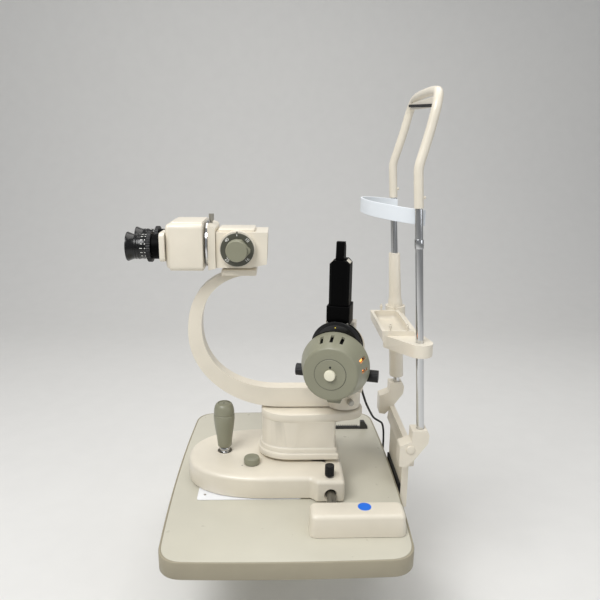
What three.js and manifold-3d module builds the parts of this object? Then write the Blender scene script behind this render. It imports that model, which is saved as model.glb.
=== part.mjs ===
// A table-mounted slit lamp: lamp housing below, prism tower above, microscope on a C-shaped arm.
// Millimetres, +Z up. The origin is the centre of the table's underside. +X points to the patient,
// -X to the examiner, and -Y is the examiner's right-hand side.
import * as THREE from "three";
import { mergeVertices } from "three/addons/utils/BufferGeometryUtils.js";
import Module from "manifold-3d";

const wasm = await Module();
wasm.setup();

// ---------- driving dimensions ----------
const GAP = 0.3; // between pieces that touch
const TABLE = { halfX: 201.4, halfY: 260, thick: 30, bowX: 6, bowY: 3, corner: 38, band: 3 };
const DECK = TABLE.thick; // height of the table's upper surface
const BASE = { left: -178, right: 100, halfY: 97, blockY: 108, blockX: 48, low: DECK + 3, high: 73 };
const AXLE = { x: 76, z: 45, r: 6, tubeR: 8, end: 185, pitchR: 10, teeth: 16 };
const RACK = { from: 38.5, to: 163, width: 9, nearY: -178, farY: 176 };
const STICK = { x: -113, ballR: 9 };
const COLUMN = { left: -44, right: 88, halfY: 42, low: 79, top: 163 };
const PIVOT = { x: 105, hubR: 30, pinR: 10 }; // common vertical axis of both arms
const ARM = { thick: 26, low: 166, high: 202 };
const OPTIC = { z: 460, eyeY: 33 };
const UNIT = { turn: -105.5, hubLow: 203.1, hubHigh: 238, lampZ: 275 };
const POST = { footX: 223, footZ: 165, lean: -0.065, halfY: 105, r: 6.3, socketZ: 150, frameZ: 532 };
const CHIN = { low: 291 };
const LEAD_R = 2.3;

// ---------- colours and finishes ----------
const CREAM = { color: 0xe9e2d2, roughness: 0.45, metalness: 0 };
const OLIVE = { color: 0x82836f, roughness: 0.5, metalness: 0 };
const BLACK = { color: 0x17171a, roughness: 0.4, metalness: 0 };
const RUBBER = { color: 0x1c1c1e, roughness: 0.85, metalness: 0 };
const CHROME = { color: 0xd6d8dc, roughness: 0.12, metalness: 1 };
const STEEL = { color: 0xa9abae, roughness: 0.35, metalness: 1 };
const WHITE = { color: 0xf4f4f2, roughness: 0.5, metalness: 0 };
const GLASS = { color: 0xdfe9ee, roughness: 0.05, metalness: 0 };
const LAMINATE = { color: 0xd9d8cd, roughness: 0.4, metalness: 0 };
const EDGE = { color: 0x96917d, roughness: 0.6, metalness: 0 };

// ---------- solid helpers ----------
function toSolid(geometry) {
  const g = geometry.clone();
  g.deleteAttribute("normal");
  g.deleteAttribute("uv");
  const merged = mergeVertices(g, 1e-4);
  const vertProperties = merged.attributes.position.array;
  const triVerts = new Uint32Array(merged.index.array);
  return new wasm.Manifold(new wasm.Mesh({ numProp: 3, vertProperties, triVerts }));
}

function toGeometry(solid) {
  const mesh = solid.getMesh();
  const g = new THREE.BufferGeometry();
  g.setAttribute("position", new THREE.BufferAttribute(mesh.vertProperties, 3));
  g.setIndex(new THREE.BufferAttribute(mesh.triVerts, 1));
  return g;
}

function join(first, ...others) {
  return toGeometry(others.reduce((sum, g) => sum.add(toSolid(g)), toSolid(first)));
}

function cut(body, ...tools) {
  return toGeometry(tools.reduce((sum, g) => sum.subtract(toSolid(g)), toSolid(body)));
}

function block(x0, x1, y0, y1, z0, z1) {
  const g = new THREE.BoxGeometry(x1 - x0, y1 - y0, z1 - z0);
  return g.translate((x0 + x1) / 2, (y0 + y1) / 2, (z0 + z1) / 2);
}

// Local x, y and z of an extrusion laid along a world axis; each basis is right-handed.
const LAY = {
  x: [[0, 1, 0], [0, 0, 1], [1, 0, 0]],
  y: [[1, 0, 0], [0, 0, 1], [0, -1, 0]],
  z: [[1, 0, 0], [0, 1, 0], [0, 0, 1]],
};

function layAlong(geometry, axis) {
  const basis = LAY[axis].map((v) => new THREE.Vector3(...v));
  return geometry.applyMatrix4(new THREE.Matrix4().makeBasis(...basis));
}

// An outline swept from one value of the axis to another. Along x it is drawn in (y, z), along y in (x, z).
function prism(outline, axis, from, to, segments = 8) {
  const shape = Array.isArray(outline) ? new THREE.Shape(outline.map((p) => new THREE.Vector2(...p))) : outline;
  const options = { depth: to - from, bevelEnabled: false, curveSegments: segments };
  const g = layAlong(new THREE.ExtrudeGeometry(shape, options), axis);
  const shift = axis === "y" ? to : from;
  return g.translate(axis === "x" ? shift : 0, axis === "y" ? shift : 0, axis === "z" ? shift : 0);
}

// A profile of [radius, distance along the axis] points turned about an axis through a centre.
function turned(profile, axis, centre = [0, 0, 0], sides = 18) {
  const points = profile.map((p) => new THREE.Vector2(...p));
  const g = new THREE.LatheGeometry(points, sides);
  if (axis === "z") g.rotateX(Math.PI / 2);
  if (axis === "x") g.rotateZ(-Math.PI / 2);
  return g.translate(...centre);
}

function rod(r, axis, from, to, centre = [0, 0, 0], sides = 18) {
  return turned([[0, from], [r, from], [r, to], [0, to]], axis, centre, sides);
}

function ring(inner, outer, axis, from, to, centre = [0, 0, 0], sides = 18) {
  const profile = [[inner, from], [outer, from], [outer, to], [inner, to], [inner, from]];
  return turned(profile, axis, centre, sides);
}

function roundedRect(x0, x1, y0, y1, r) {
  const s = new THREE.Shape();
  s.moveTo(x0 + r, y0);
  s.lineTo(x1 - r, y0);
  s.absarc(x1 - r, y0 + r, r, -Math.PI / 2, 0, false);
  s.lineTo(x1, y1 - r);
  s.absarc(x1 - r, y1 - r, r, 0, Math.PI / 2, false);
  s.lineTo(x0 + r, y1);
  s.absarc(x0 + r, y1 - r, r, Math.PI / 2, Math.PI, false);
  s.lineTo(x0, y0 + r);
  s.absarc(x0 + r, y0 + r, r, Math.PI, 1.5 * Math.PI, false);
  return s;
}

function sweep(points, r, steps, sides) {
  const path = new THREE.CatmullRomCurve3(points.map((p) => new THREE.Vector3(...p)));
  const circle = new THREE.Shape();
  circle.absarc(0, 0, r, 0, 2 * Math.PI, false);
  const options = { steps, curveSegments: sides / 2, extrudePath: path, bevelEnabled: false };
  return new THREE.ExtrudeGeometry(circle, options);
}

const object = new THREE.Group();

function add(name, geometry, look, parent = object) {
  const mesh = new THREE.Mesh(geometry, new THREE.MeshStandardMaterial(look));
  mesh.name = name;
  parent.add(mesh);
  return mesh;
}

// ---------- table ----------
function tableOutline(inset) {
  const hx = TABLE.halfX - inset;
  const hy = TABLE.halfY - inset;
  const cx = hx - TABLE.bowX;
  const cy = hy - TABLE.bowY;
  const r = TABLE.corner;
  const s = new THREE.Shape();
  s.moveTo(-cx + r, -cy);
  s.quadraticCurveTo(0, -cy - 2 * TABLE.bowY, cx - r, -cy);
  s.quadraticCurveTo(cx - 3, -cy + 2, cx, -cy + r);
  s.quadraticCurveTo(cx + 2 * TABLE.bowX, 0, cx, cy - r);
  s.quadraticCurveTo(cx - 3, cy - 2, cx - r, cy);
  s.quadraticCurveTo(0, cy + 2 * TABLE.bowY, -cx + r, cy);
  s.quadraticCurveTo(-cx + 3, cy - 2, -cx, cy - r);
  s.quadraticCurveTo(-cx - 2 * TABLE.bowX, 0, -cx, -cy + r);
  s.quadraticCurveTo(-cx + 3, -cy + 2, -cx + r, -cy);
  return s;
}

function makeTable() {
  const bandInner = prism(tableOutline(TABLE.band), "z", -1, DECK + 1, 6);
  add("table_panel", prism(tableOutline(TABLE.band + GAP), "z", 0, DECK, 6), LAMINATE);
  add("table_edge_band", cut(prism(tableOutline(0), "z", 0, DECK, 6), bandInner), EDGE);
  add("glide_plate", prism(roundedRect(-154, 26, -96, 96, 5), "z", DECK + GAP, DECK + 1.6, 3), WHITE);
}

// A toothed bar lying along X with its teeth upwards, and a wedge-shaped end bracket.
function rackBar(y) {
  const pitch = (2 * Math.PI * AXLE.pitchR) / AXLE.teeth;
  const root = AXLE.z - AXLE.pitchR - 1.5;
  const tip = root + 2.5;
  const low = DECK + GAP;
  const half = RACK.width / 2;
  const outline = [[RACK.from, low], [RACK.to + 16, low], [RACK.to + 16, low + 5], [RACK.to + 8, low + 17]];
  outline.push([RACK.to, low + 17], [RACK.to, root]);
  // a tooth gap stands right under the axle
  const first = Math.floor((RACK.to - 2 - AXLE.x) / pitch);
  for (let i = first; AXLE.x + (i - 0.5) * pitch > RACK.from + 3; i--) {
    const tooth = AXLE.x + (i - 0.5) * pitch;
    outline.push([tooth + 1.3, root], [tooth + 0.55, tip], [tooth - 0.55, tip], [tooth - 1.3, root]);
  }
  outline.push([RACK.from, root]);
  return prism(outline, "y", y - half, y + half);
}

function pinion(y) {
  const outline = [];
  for (let i = 0; i < AXLE.teeth; i++) {
    const middle = -Math.PI / 2 + (i / AXLE.teeth) * 2 * Math.PI;
    for (const [offset, r] of [[-0.13, 8.9], [-0.045, 11.1], [0.045, 11.1], [0.13, 8.9]]) {
      const a = middle + offset;
      outline.push([AXLE.x + r * Math.cos(a), AXLE.z + r * Math.sin(a)]);
    }
  }
  return prism(outline, "y", y - 3.5, y + 3.5);
}

function makeRails() {
  add("near_rack", rackBar(RACK.nearY), STEEL);
  add("far_rack", rackBar(RACK.farY), STEEL);
  const outer = roundedRect(35, 188, -204, -157, 9);
  const inner = roundedRect(37.5, 185.5, -201.5, -159.5, 7);
  const slot = block(40, 150, -160, -150, DECK - 5, 58);
  const cover = cut(prism(outer, "z", DECK + GAP, 67, 4), prism(inner, "z", DECK - 5, 64, 4), slot);
  add("near_rail_cover", cover, CREAM);
}

// ---------- carriage ----------
function makeAxle() {
  const centre = [AXLE.x, 0, AXLE.z];
  const shaft = rod(AXLE.r, "y", -AXLE.end, AXLE.end, centre, 16);
  add("pinion_axle", join(shaft, pinion(RACK.nearY), pinion(RACK.farY)), STEEL);
  const end = AXLE.end - 19;
  add("axle_guide_tube", ring(AXLE.r + GAP, AXLE.tubeR, "y", -end, end, centre), CHROME);
}

// Plan of the base: a superellipse on the examiner's side, straight sides, and a wider block for the axle.
function baseOutline(inset) {
  const radiusX = 150 - inset;
  const middle = BASE.left + 150;
  const radiusY = BASE.halfY - inset;
  const wide = BASE.blockY - inset;
  const right = BASE.right - inset;
  const points = [[BASE.blockX - 6 + inset, -radiusY], [BASE.blockX + inset, -wide], [right - 6, -wide]];
  points.push([right, -wide + 6], [right, wide - 6], [right - 6, wide], [BASE.blockX + inset, wide]);
  points.push([BASE.blockX - 6 + inset, radiusY]);
  const steps = 18;
  for (let i = 0; i <= steps; i++) {
    const a = Math.PI / 2 + (i / steps) * Math.PI;
    const power = 2 / 2.3;
    const x = -Math.pow(Math.abs(Math.cos(a)), power);
    const y = Math.sign(Math.sin(a)) * Math.pow(Math.abs(Math.sin(a)), power);
    points.push([middle + radiusX * x, radiusY * y]);
  }
  return points;
}

function makeBase() {
  const rim = prism(baseOutline(0), "z", BASE.low, BASE.high - 5);
  const step = prism(baseOutline(2), "z", BASE.high - 6, BASE.high - 1.8);
  const top = prism(baseOutline(5), "z", BASE.high - 3, BASE.high);
  const pocket = prism(baseOutline(6), "z", BASE.low - 5, BASE.high - 6);
  const axleHole = rod(AXLE.tubeR + GAP, "y", -120, 120, [AXLE.x, 0, AXLE.z]);
  const stickHole = rod(14, "z", 50, 90, [STICK.x, 0, 0]);
  const postHole = rod(20 + 2 * GAP, "z", 50, 90, [22, 0, 0]);
  add("base_housing", cut(join(rim, step, top), pocket, axleHole, stickHole, postHole), CREAM);
  add("base_lock_knob", fluted(8, 16, 74.8, 93.8, [74, -93]), BLACK);
  const dial = [[0, 73.3], [14, 73.3], [14.3, 82], [13, 85.5], [0, 85.5]];
  add("brightness_knob", turned(dial, "z", [-61, -47, 0], 20), OLIVE);
  add("elevation_post", rod(20, "z", 40, 135, [22, 0, 0], 20), STEEL);
}

// A knob with shallow flutes round it, standing along Z.
function fluted(r, flutes, z0, z1, [x, y]) {
  const outline = [];
  for (let i = 0; i < 2 * flutes; i++) {
    const a = (i / flutes) * Math.PI;
    const reach = i % 2 ? r - 0.9 : r;
    outline.push([x + reach * Math.cos(a), y + reach * Math.sin(a)]);
  }
  return join(prism(outline, "z", z0, z1), rod(5, "z", z0 - 1.5, z0 + 1, [x, y, 0], 16));
}

function makeJoystick() {
  const centre = [STICK.x, 0, 0];
  add("joystick_gimbal", ring(STICK.ballR + 0.6, 13, "z", 49, 57, centre, 20), STEEL);
  const shaft = [[0, 33.5], [3, 35], [4, 44.6], [7, 47.5], [STICK.ballR, 53], [7, 58.5], [5, 61]];
  shaft.push([5, 160], [0, 160]);
  add("joystick_shaft", turned(shaft, "z", centre, 20), CHROME);
  const grip = [[5.4, 84], [12.8, 84], [13.6, 96], [17, 118], [19, 138], [18.8, 147.5], [17.8, 148.5]];
  grip.push([18, 150], [17.2, 160], [14.6, 166.5], [11.6, 168.5], [11.2, 167], [0, 167.4], [0, 160.4]);
  grip.push([5.4, 160.4], [5.4, 84]);
  add("joystick_handle", turned(grip, "z", centre, 24), OLIVE);
}

// ---------- column ----------
// Plan of the column: round towards the examiner and square towards the patient.
function columnOutline(grow) {
  const hy = COLUMN.halfY + grow;
  const s = new THREE.Shape();
  const left = COLUMN.left - grow;
  const right = COLUMN.right + grow;
  s.moveTo(left + 60, -hy);
  s.lineTo(right - 4, -hy);
  s.quadraticCurveTo(right, -hy, right, -hy + 4);
  s.lineTo(right, hy - 4);
  s.quadraticCurveTo(right, hy, right - 4, hy);
  s.lineTo(left + 60, hy);
  s.bezierCurveTo(left + 24, hy, left, hy * 0.62, left, 0);
  s.bezierCurveTo(left, -hy * 0.62, left + 24, -hy, left + 60, -hy);
  return s;
}

function makeColumn() {
  const main = prism(columnOutline(0), "z", 98, COLUMN.top, 8);
  const upperStep = prism(columnOutline(3), "z", 89, 98.5, 8);
  const lowerStep = prism(columnOutline(6.5), "z", COLUMN.low, 89.5, 8);
  const nose = new THREE.Shape();
  const noseR = 34;
  nose.moveTo(70, -38);
  nose.lineTo(PIVOT.x, -noseR);
  nose.absarc(PIVOT.x, 0, noseR, -Math.PI / 2, Math.PI / 2, false);
  nose.lineTo(70, 38);
  const shelf = prism(nose, "z", 149, COLUMN.top, 14);
  const gusset = prism([[80, 140], [PIVOT.x + 20, 149.5], [80, 149.5]], "y", -26, 26);
  const inside = prism(columnOutline(-4), "z", COLUMN.low - 5, 149, 8);
  const pinHole = rod(PIVOT.pinR + GAP, "z", 130, 170, [PIVOT.x, 0, 0]);
  add("column_cover", cut(join(main, upperStep, lowerStep, shelf, gusset), inside, pinHole), CREAM);
  add("elevation_sleeve", ring(20 + 2 * GAP, 27, "z", 96, 148.7, [22, 0, 0]), STEEL);
  add("hub_pin", rod(PIVOT.pinR, "z", 142, 236, [PIVOT.x, 0, 0]), STEEL);
}

// ---------- microscope ----------
function makeMicroscopeArm() {
  const s = new THREE.Shape();
  s.moveTo(PIVOT.x, ARM.low);
  s.lineTo(PIVOT.x, ARM.high);
  s.lineTo(-15, ARM.high);
  s.bezierCurveTo(-85, ARM.high, -147.5, 240, -147.5, 316);
  s.bezierCurveTo(-147.5, 365, -122, 400, -68, 409);
  s.lineTo(-110, 409);
  s.bezierCurveTo(-150, 395, -171, 360, -171, 305);
  s.bezierCurveTo(-171, 225, -95, ARM.low, -10, ARM.low);
  s.lineTo(PIVOT.x, ARM.low);
  const limb = prism(s, "y", -ARM.thick / 2, ARM.thick / 2, 12);
  const hub = rod(PIVOT.hubR, "z", ARM.low, ARM.high + 0.6, [PIVOT.x, 0, 0], 24);
  const foot = rod(20, "z", COLUMN.top + GAP, ARM.low + 1, [PIVOT.x, 0, 0], 24);
  const bore = rod(PIVOT.pinR + GAP, "z", 150, 210, [PIVOT.x, 0, 0]);
  const aim = (g) => g.rotateZ(THREE.MathUtils.degToRad(-77)).translate(PIVOT.x, 0, 184);
  const screwHole = aim(rod(3.3, "x", 17, 40, [0, 0, 0], 12));
  add("microscope_arm", cut(join(limb, hub, foot), bore, screwHole), CREAM);
  const screw = [[0, 18], [3, 18], [3, 30.5], [5.6, 31], [5.6, 41], [4.6, 42], [0, 42]];
  add("swing_clamp_screw", aim(turned(screw, "x", [0, 0, 0], 18)), STEEL);
  add("microscope_mount_plate", prism(roundedRect(-110, -51, 409.3, 420.5, 2), "y", -26, 26, 3), CREAM);
}

function makeChanger() {
  const body = prism([[-117, 425], [-62, 425], [-33.5, 431], [-31.6, 484], [-117, 484]], "y", -36, 36);
  const lid = block(-114, -53, -28, 28, 483, 489);
  const drumZ = 457;
  const bezel = rod(30, "y", -44, 44, [-81.5, 0, drumZ], 24);
  const saddle = block(-105, -60, -20, 20, 420.8, 426);
  const drumBay = rod(26, "y", -33, 33, [-81.5, 0, drumZ]);
  const shaftHole = rod(6.5, "y", -50, 50, [-81.5, 0, drumZ], 16);
  const seat = rod(21, "x", -43, -30, [0, 0, drumZ]);
  const paths = [-13, 13].map((y) => rod(11, "x", -120, -30, [0, y, drumZ], 16));
  add("changer_housing", cut(join(body, lid, bezel, saddle), drumBay, shaftHole, seat, ...paths), CREAM);
  const drumBody = rod(25, "y", -32, 32, [-81.5, 0, drumZ]);
  const drumShaft = rod(6, "y", -43.8, 43.8, [-81.5, 0, drumZ], 16);
  const drumPaths = [-13, 13].map((y) => rod(10, "x", -120, -40, [0, y, drumZ], 16));
  add("magnification_drum", cut(join(drumBody, drumShaft), ...drumPaths), BLACK);
  for (const [name, side] of [["near_magnification_dial", -1], ["far_magnification_dial", 1]]) {
    const profile = [[0, 44.2], [27.4, 44.2], [27.4, 48], [18.5, 48.2], [17.8, 62], [15.5, 64], [0, 64]];
    const dial = turned(profile, "y", [0, 0, 0], 24);
    if (side < 0) dial.rotateZ(Math.PI);
    add(name, dial.translate(-81.5, 0, drumZ), OLIVE);
  }
  const lens = [[0, -42], [20.5, -41], [20.5, -38], [0, -34.5]];
  add("objective_lens", turned(lens, "x", [0, 0, drumZ], 20), GLASS);
}

function makeHead() {
  const collarSide = [[-130, 421.5], [-117.4, 424], [-117.4, 490], [-130, 496.5]];
  const paths = [-13, 13].map((y) => rod(11, "x", -140, -110, [0, y, OPTIC.z], 16));
  const screwHole = rod(2.4, "z", 480, 520, [-127, 0, 0], 12);
  add("head_collar", cut(prism(collarSide, "y", -40, 40), screwHole, ...paths), CREAM);
  add("chrome_ring", ring(26, 39.5, "x", -134.7, -130.3, [0, 0, OPTIC.z], 24), CHROME);
  const screw = [[0, 484], [2, 484], [2, 499], [4.6, 500], [4.6, 511], [0, 511.8]];
  add("head_clamp_screw", turned(screw, "z", [-127, 0, 0], 16), CREAM);
  const main = prism(roundedRect(-50.5, 50.5, 421.5, 499, 8), "x", -190, -137, 5);
  const back = prism(roundedRect(-50, 50, 427, 498, 9), "x", -197, -189, 5);
  const hump = block(-189, -138, -38, 38, 498, 501);
  const boss = rod(25.6, "x", -138, -131, [0, 0, OPTIC.z], 20);
  const cavity = block(-191, -143, -44, 44, 430, 490);
  const exits = [-1, 1].map((side) => rod(15, "x", -200, -180, [0, side * OPTIC.eyeY, OPTIC.z], 20));
  const inlet = rod(20, "x", -150, -125, [0, 0, OPTIC.z], 20);
  add("binocular_head", cut(join(main, back, hump, boss), cavity, inlet, ...exits), CREAM);
  for (const [side, label] of [[-1, "near"], [1, "far"]]) {
    const y = side * OPTIC.eyeY;
    const low = side < 0 ? -57 : 6.5;
    const plate = prism(roundedRect(low, low + 50.5, 438, 485, 7), "x", -206, -197.3, 4);
    const tube = ring(14, 19.5, "x", -220, -205.5, [0, y, OPTIC.z]);
    const exit = rod(14, "x", -230, -190, [0, y, OPTIC.z]);
    add(label + "_eyepiece_tube", cut(join(plate, tube), exit), BLACK);
    const shell = [[0, -220.4], [25, -220.4], [25.5, -226], [21, -228], [20.5, -252], [24, -258], [24, -261]];
    shell.push([21, -261], [18, -252], [17, -246], [0, -245]);
    add(label + "_eyepiece", turned(shell.reverse(), "x", [0, y, OPTIC.z], 20), RUBBER);
  }
}

// ---------- illumination unit ----------
// Built with its lamp pointing along +X from the common axis, then turned about that axis. Here x is the
// distance from the axis and y runs to the right when the lamp is seen from outside.
const unit = new THREE.Group();
unit.position.set(PIVOT.x, 0, 0);
unit.rotation.z = THREE.MathUtils.degToRad(UNIT.turn);

// A slab with a round top, drawn in (y, z).
function arch(half, low, centreZ) {
  const s = new THREE.Shape();
  s.moveTo(-half, low);
  s.lineTo(half, low);
  s.absarc(0, centreZ, half, 0, Math.PI, false);
  return s;
}

function makeIlluminationArm() {
  const hub = rod(PIVOT.hubR, "z", UNIT.hubLow, UNIT.hubHigh, [0, 0, 0], 24);
  const web = block(12, 45, -24, 24, UNIT.hubLow + 3, 300);
  const slab = prism(arch(40, 216, 291), "x", 40, 60, 16);
  const seat = block(40, 60, -25, 25, 300, 339.4);
  const pinHole = rod(PIVOT.pinR + GAP, "z", 190, 245, [0, 0, 0]);
  const shaftHole = rod(5, "y", -80, 80, [78, 0, 255], 16);
  const neck = block(20, 41.6, -7.5, 7.5, 217.3, 231).rotateZ(THREE.MathUtils.degToRad(140.7));
  const lobe = rod(8, "z", 217.3, 231, [-32.2, 26.4, 0], 20);
  const arm = cut(join(hub, web, slab, seat, neck, lobe), pinHole, shaftHole);
  add("illumination_arm", arm, CREAM, unit);
}

function makeSlitHousing() {
  const slab = prism(arch(40, 238, 299), "x", 60.4, 92, 16);
  const guard = rod(41.5, "x", 90, 94.9, [0, 0, 306.5], 24);
  const bay = rod(31, "x", 66, 96, [0, 0, UNIT.lampZ], 20);
  const chimney = rod(11, "z", 280, 345, [74, 0, 0], 20);
  const shaftHole = rod(4.4, "y", -60, 60, [78, 0, 255], 16);
  add("slit_housing", cut(join(slab, guard), bay, chimney, shaftHole), BLACK, unit);
  const right = [[0, -47], [4, -47], [4, 47.4], [10.2, 47.4], [10.2, 68], [9.2, 69], [0, 69]];
  add("right_slit_knob", turned(right, "y", [78, 0, 255], 20), BLACK, unit);
  const left = [[0, -70], [9.2, -70], [10.2, -69], [10.2, -47.4], [0, -47.4]];
  add("left_slit_knob", turned(left, "y", [78, 0, 255], 20), BLACK, unit);
}

function makeLamp() {
  const centre = [0, 0, UNIT.lampZ];
  const outside = [[25.4, 142], [41.5, 142], [45, 138.5], [57, 97], [57, 95.4], [54, 95.4]];
  outside.push([42.5, 136], [25.4, 139], [25.4, 142]);
  const shell = turned(outside.reverse(), "x", centre, 28);
  const slots = [];
  for (const angle of [-22.5, -3.5, 15.5, 66, 86, 160, 180, 200]) {
    const slot = block(107, 126, -2.7, 2.7, 30, 62);
    slots.push(slot.rotateX(-THREE.MathUtils.degToRad(angle)).translate(...centre));
  }
  const lug = block(95.4, 102, -12, 12, UNIT.lampZ - 64.5, UNIT.lampZ - 54.5);
  add("lamp_housing", cut(join(shell, lug), ...slots), OLIVE, unit);
  const cap = [[0, 121], [8, 121], [9, 135], [9, 138.6], [25, 138.6], [25, 142.4], [0, 142.4]];
  add("lamp_cap", turned(cap, "x", centre, 24), OLIVE, unit);
  add("lamp_cap_button", turned([[0, 142.7], [9, 142.7], [9, 147], [7.5, 149], [0, 149]], "x", centre), WHITE, unit);
  const bulb = [[0, 101], [4, 103], [6, 108], [5, 114], [4, 120.7], [0, 120.7]];
  add("lamp_bulb", turned(bulb, "x", centre, 16), GLASS, unit);
}

function makeTower() {
  const light = rod(11, "z", 330, 445, [74, 0, 0], 20);
  const foot = roundedRect(44, 87, -19, 19, 3);
  add("tower_base", cut(prism(foot, "z", 339.8, 371.5, 3), light), BLACK, unit);
  const plan = [[47, -12], [51, -16.5], [80, -16.5], [84.5, -12], [84.5, 12], [80, 16.5], [51, 16.5], [47, 12]];
  const mast = prism(plan, "z", 371.8, 446);
  const slope = prism([[8, 447], [18, 438.5], [18, 447]], "x", 40, 90);
  const roof = [slope, slope.clone().rotateZ(Math.PI).translate(130, 0, 0)];
  add("tower_column", cut(mast, ...roof, rod(11, "z", 360, 450, [72, 0, 0], 20)), BLACK, unit);
  add("condenser_lens", turned([[0, 388], [10.7, 389], [10.7, 392], [0, 394]], "z", [72, 0, 0], 20), GLASS, unit);
  const plate = [[60.3, 446.3], [80, 446.3], [80, 450], [76, 475], [66, 475], [60.3, 466]];
  const notch = prism([[55, 452], [66, 452], [66, 468], [55, 462]], "y", -5, 5);
  const pupil = rod(5, "z", 440, 458, [69, 0, 0], 16);
  add("prism_holder", cut(prism(plate, "y", -6.8, 6.8), notch, pupil), BLACK, unit);
  add("prism", prism([[57, 459], [65.4, 459], [65.4, 466]], "y", -4.6, 4.6), GLASS, unit);
}

// ---------- headrest ----------
const postX = (z) => POST.footX + POST.lean * (z - POST.footZ);

// Shears a solid standing on z = 0 to the posts' lean and puts it on a post at the given height.
function leaning(geometry, y, low) {
  const shear = new THREE.Matrix4().set(1, 0, POST.lean, 0, 0, 1, 0, 0, 0, 0, 1, 0, 0, 0, 0, 1);
  return geometry.applyMatrix4(shear).translate(postX(low), y, low);
}

function makeYoke() {
  const profile = [[188, 104], [200, 102], [215, 118], [235, 146], [236, 162], [233, 168], [207.5, 168]];
  profile.push([207.5, 149], [188, 141]);
  const arms = [-1, 1].map((side) => prism(profile, "y", side * 105 - 13, side * 105 + 13));
  const bar = prism([[206, 92], [218, 92], [219, 120], [209, 120]], "y", -96, 96);
  const foot = prism([[206, -10], [218, -10], [218, 95], [206, 95]], "y", -60, 60);
  const sockets = [-1, 1].map((side) => leaning(rod(POST.r + GAP, "z", -0.3, 60), side * 105, POST.socketZ));
  add("headrest_yoke", cut(join(foot, bar, ...arms), ...sockets), CREAM);
  const pad = block(201.8, 205.7, -58, 58, -4, 36);
  add("yoke_pad", cut(pad, prism(tableOutline(-0.3), "z", -5, 50, 10)), RUBBER);
}

function makeHeadFrame() {
  const neckR = 4.6; // the thinner end that goes into the frame
  const neckZ = POST.frameZ - POST.socketZ - 0.9;
  const stem = [[0, 0], [POST.r, 0], [POST.r, neckZ], [neckR, neckZ], [neckR, neckZ + 34], [0, neckZ + 34]];
  for (const [name, side] of [["near_post", -1], ["far_post", 1]]) {
    add(name, leaning(turned(stem, "z"), side * POST.halfY, POST.socketZ), CHROME);
  }
  const half = POST.halfY;
  const leg = [[postX(POST.frameZ), half, POST.frameZ], [postX(575), half, 575], [195.8, half, 592]];
  leg.push([203, 103, 619], [212, 100, 652], [219.5, 96, 684], [223.5, 84, 700.5], [224.5, 62, 705.5]);
  const near = leg.map(([x, y, z]) => [x, -y, z]);
  const tube = sweep([...near, ...leg.reverse()], 7.4, 44, 10);
  const socket = rod(neckR + GAP, "z", -10, 36);
  const sockets = [-1, 1].map((s) => leaning(socket.clone(), s * half, POST.frameZ));
  add("headrest_frame", cut(tube, ...sockets), CREAM);
  const plate = [[-86, 680], [86, 686], [81, 691], [74, 697], [-74, 696], [-81, 689]];
  add("frame_cross_plate", prism(plate, "x", 217.5, 220.5), CREAM);
}

function makeForeheadBand() {
  const outer = new THREE.Shape();
  outer.moveTo(212, -95.2);
  outer.lineTo(212, -98.2);
  outer.lineTo(193, -98.2);
  outer.bezierCurveTo(152, -86, 125, -50, 125, 0);
  outer.bezierCurveTo(125, 50, 152, 86, 193, 98.2);
  outer.lineTo(206, 98.2);
  outer.lineTo(206, 95.2);
  outer.lineTo(194, 95.2);
  outer.bezierCurveTo(155, 83, 128, 48, 128, 0);
  outer.bezierCurveTo(128, -48, 155, -83, 194, -95.2);
  const band = prism(outer, "z", 0, 24, 12);
  const tilt = new THREE.Matrix4().set(1, 0, 0, 0, 0, 1, 0, 0, -0.12, 0, 1, 530, 0, 0, 0, 1);
  band.applyMatrix4(tilt);
  add("forehead_band", band, WHITE);
}

function makeChinRest() {
  const trough = prism([[158, 326], [159, 308], [166, 296], [186, 291], [211, 291], [212, 326]], "y", -70, 66);
  const bridge = prism([[196, -60], [226, -60], [226, 100], [196, 100]], "z", CHIN.low, 314);
  const horn = prism([[162, -60], [162, -68], [198.5, -116.9], [214.5, -105], [234, -100], [224, -60]], "z", 297, 318);
  const nearRing = leaning(rod(20, "z", 0, 21, [0, 0, 0], 24), -POST.halfY, 297);
  const farRing = leaning(rod(19, "z", 0, 34, [0, 0, 0], 20), POST.halfY, CHIN.low);
  const cup = prism(roundedRect(163, 207, -65, 61, 14), "z", 312, 340, 5);
  const bores = [-1, 1].map((s) => {
    const r = s < 0 ? POST.r + GAP : 14.1;
    return leaning(rod(r, "z", 0, 80, [0, 0, 0]), s * POST.halfY, 270);
  });
  add("chin_rest", cut(join(trough, bridge, horn, nearRing, farRing), cup, ...bores), CREAM);
  const sleeve = [[POST.r + 0.6, 0], [13.7, 0], [13.7, 152], [12, 160], [11.5, 170], [10.5, 248], [POST.r + 0.6, 248]];
  sleeve.push([POST.r + 0.6, 0]);
  add("height_sleeve", leaning(turned(sleeve, "z", [0, 0, 0], 20), POST.halfY, 180), CREAM);
}

// ---------- lamp lead ----------
// Leaves the gland downwards, sags past the patient's edge of the table and hangs to its plug.
const LEAD = [
  [139, 24, 203], [139, 24.4, 195], [141.5, 29, 185], [147.5, 50, 165], [154, 70, 146], [160.8, 90, 126.7],
  [168.5, 110, 108], [176.2, 130, 89.9], [191.3, 165, 59], [205, 185, 42.5], [214.6, 197, 31], [220, 205, 12],
  [222, 209, -12], [222, 210, -45], [222, 210, -80], [222, 210, -120],
];

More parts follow.
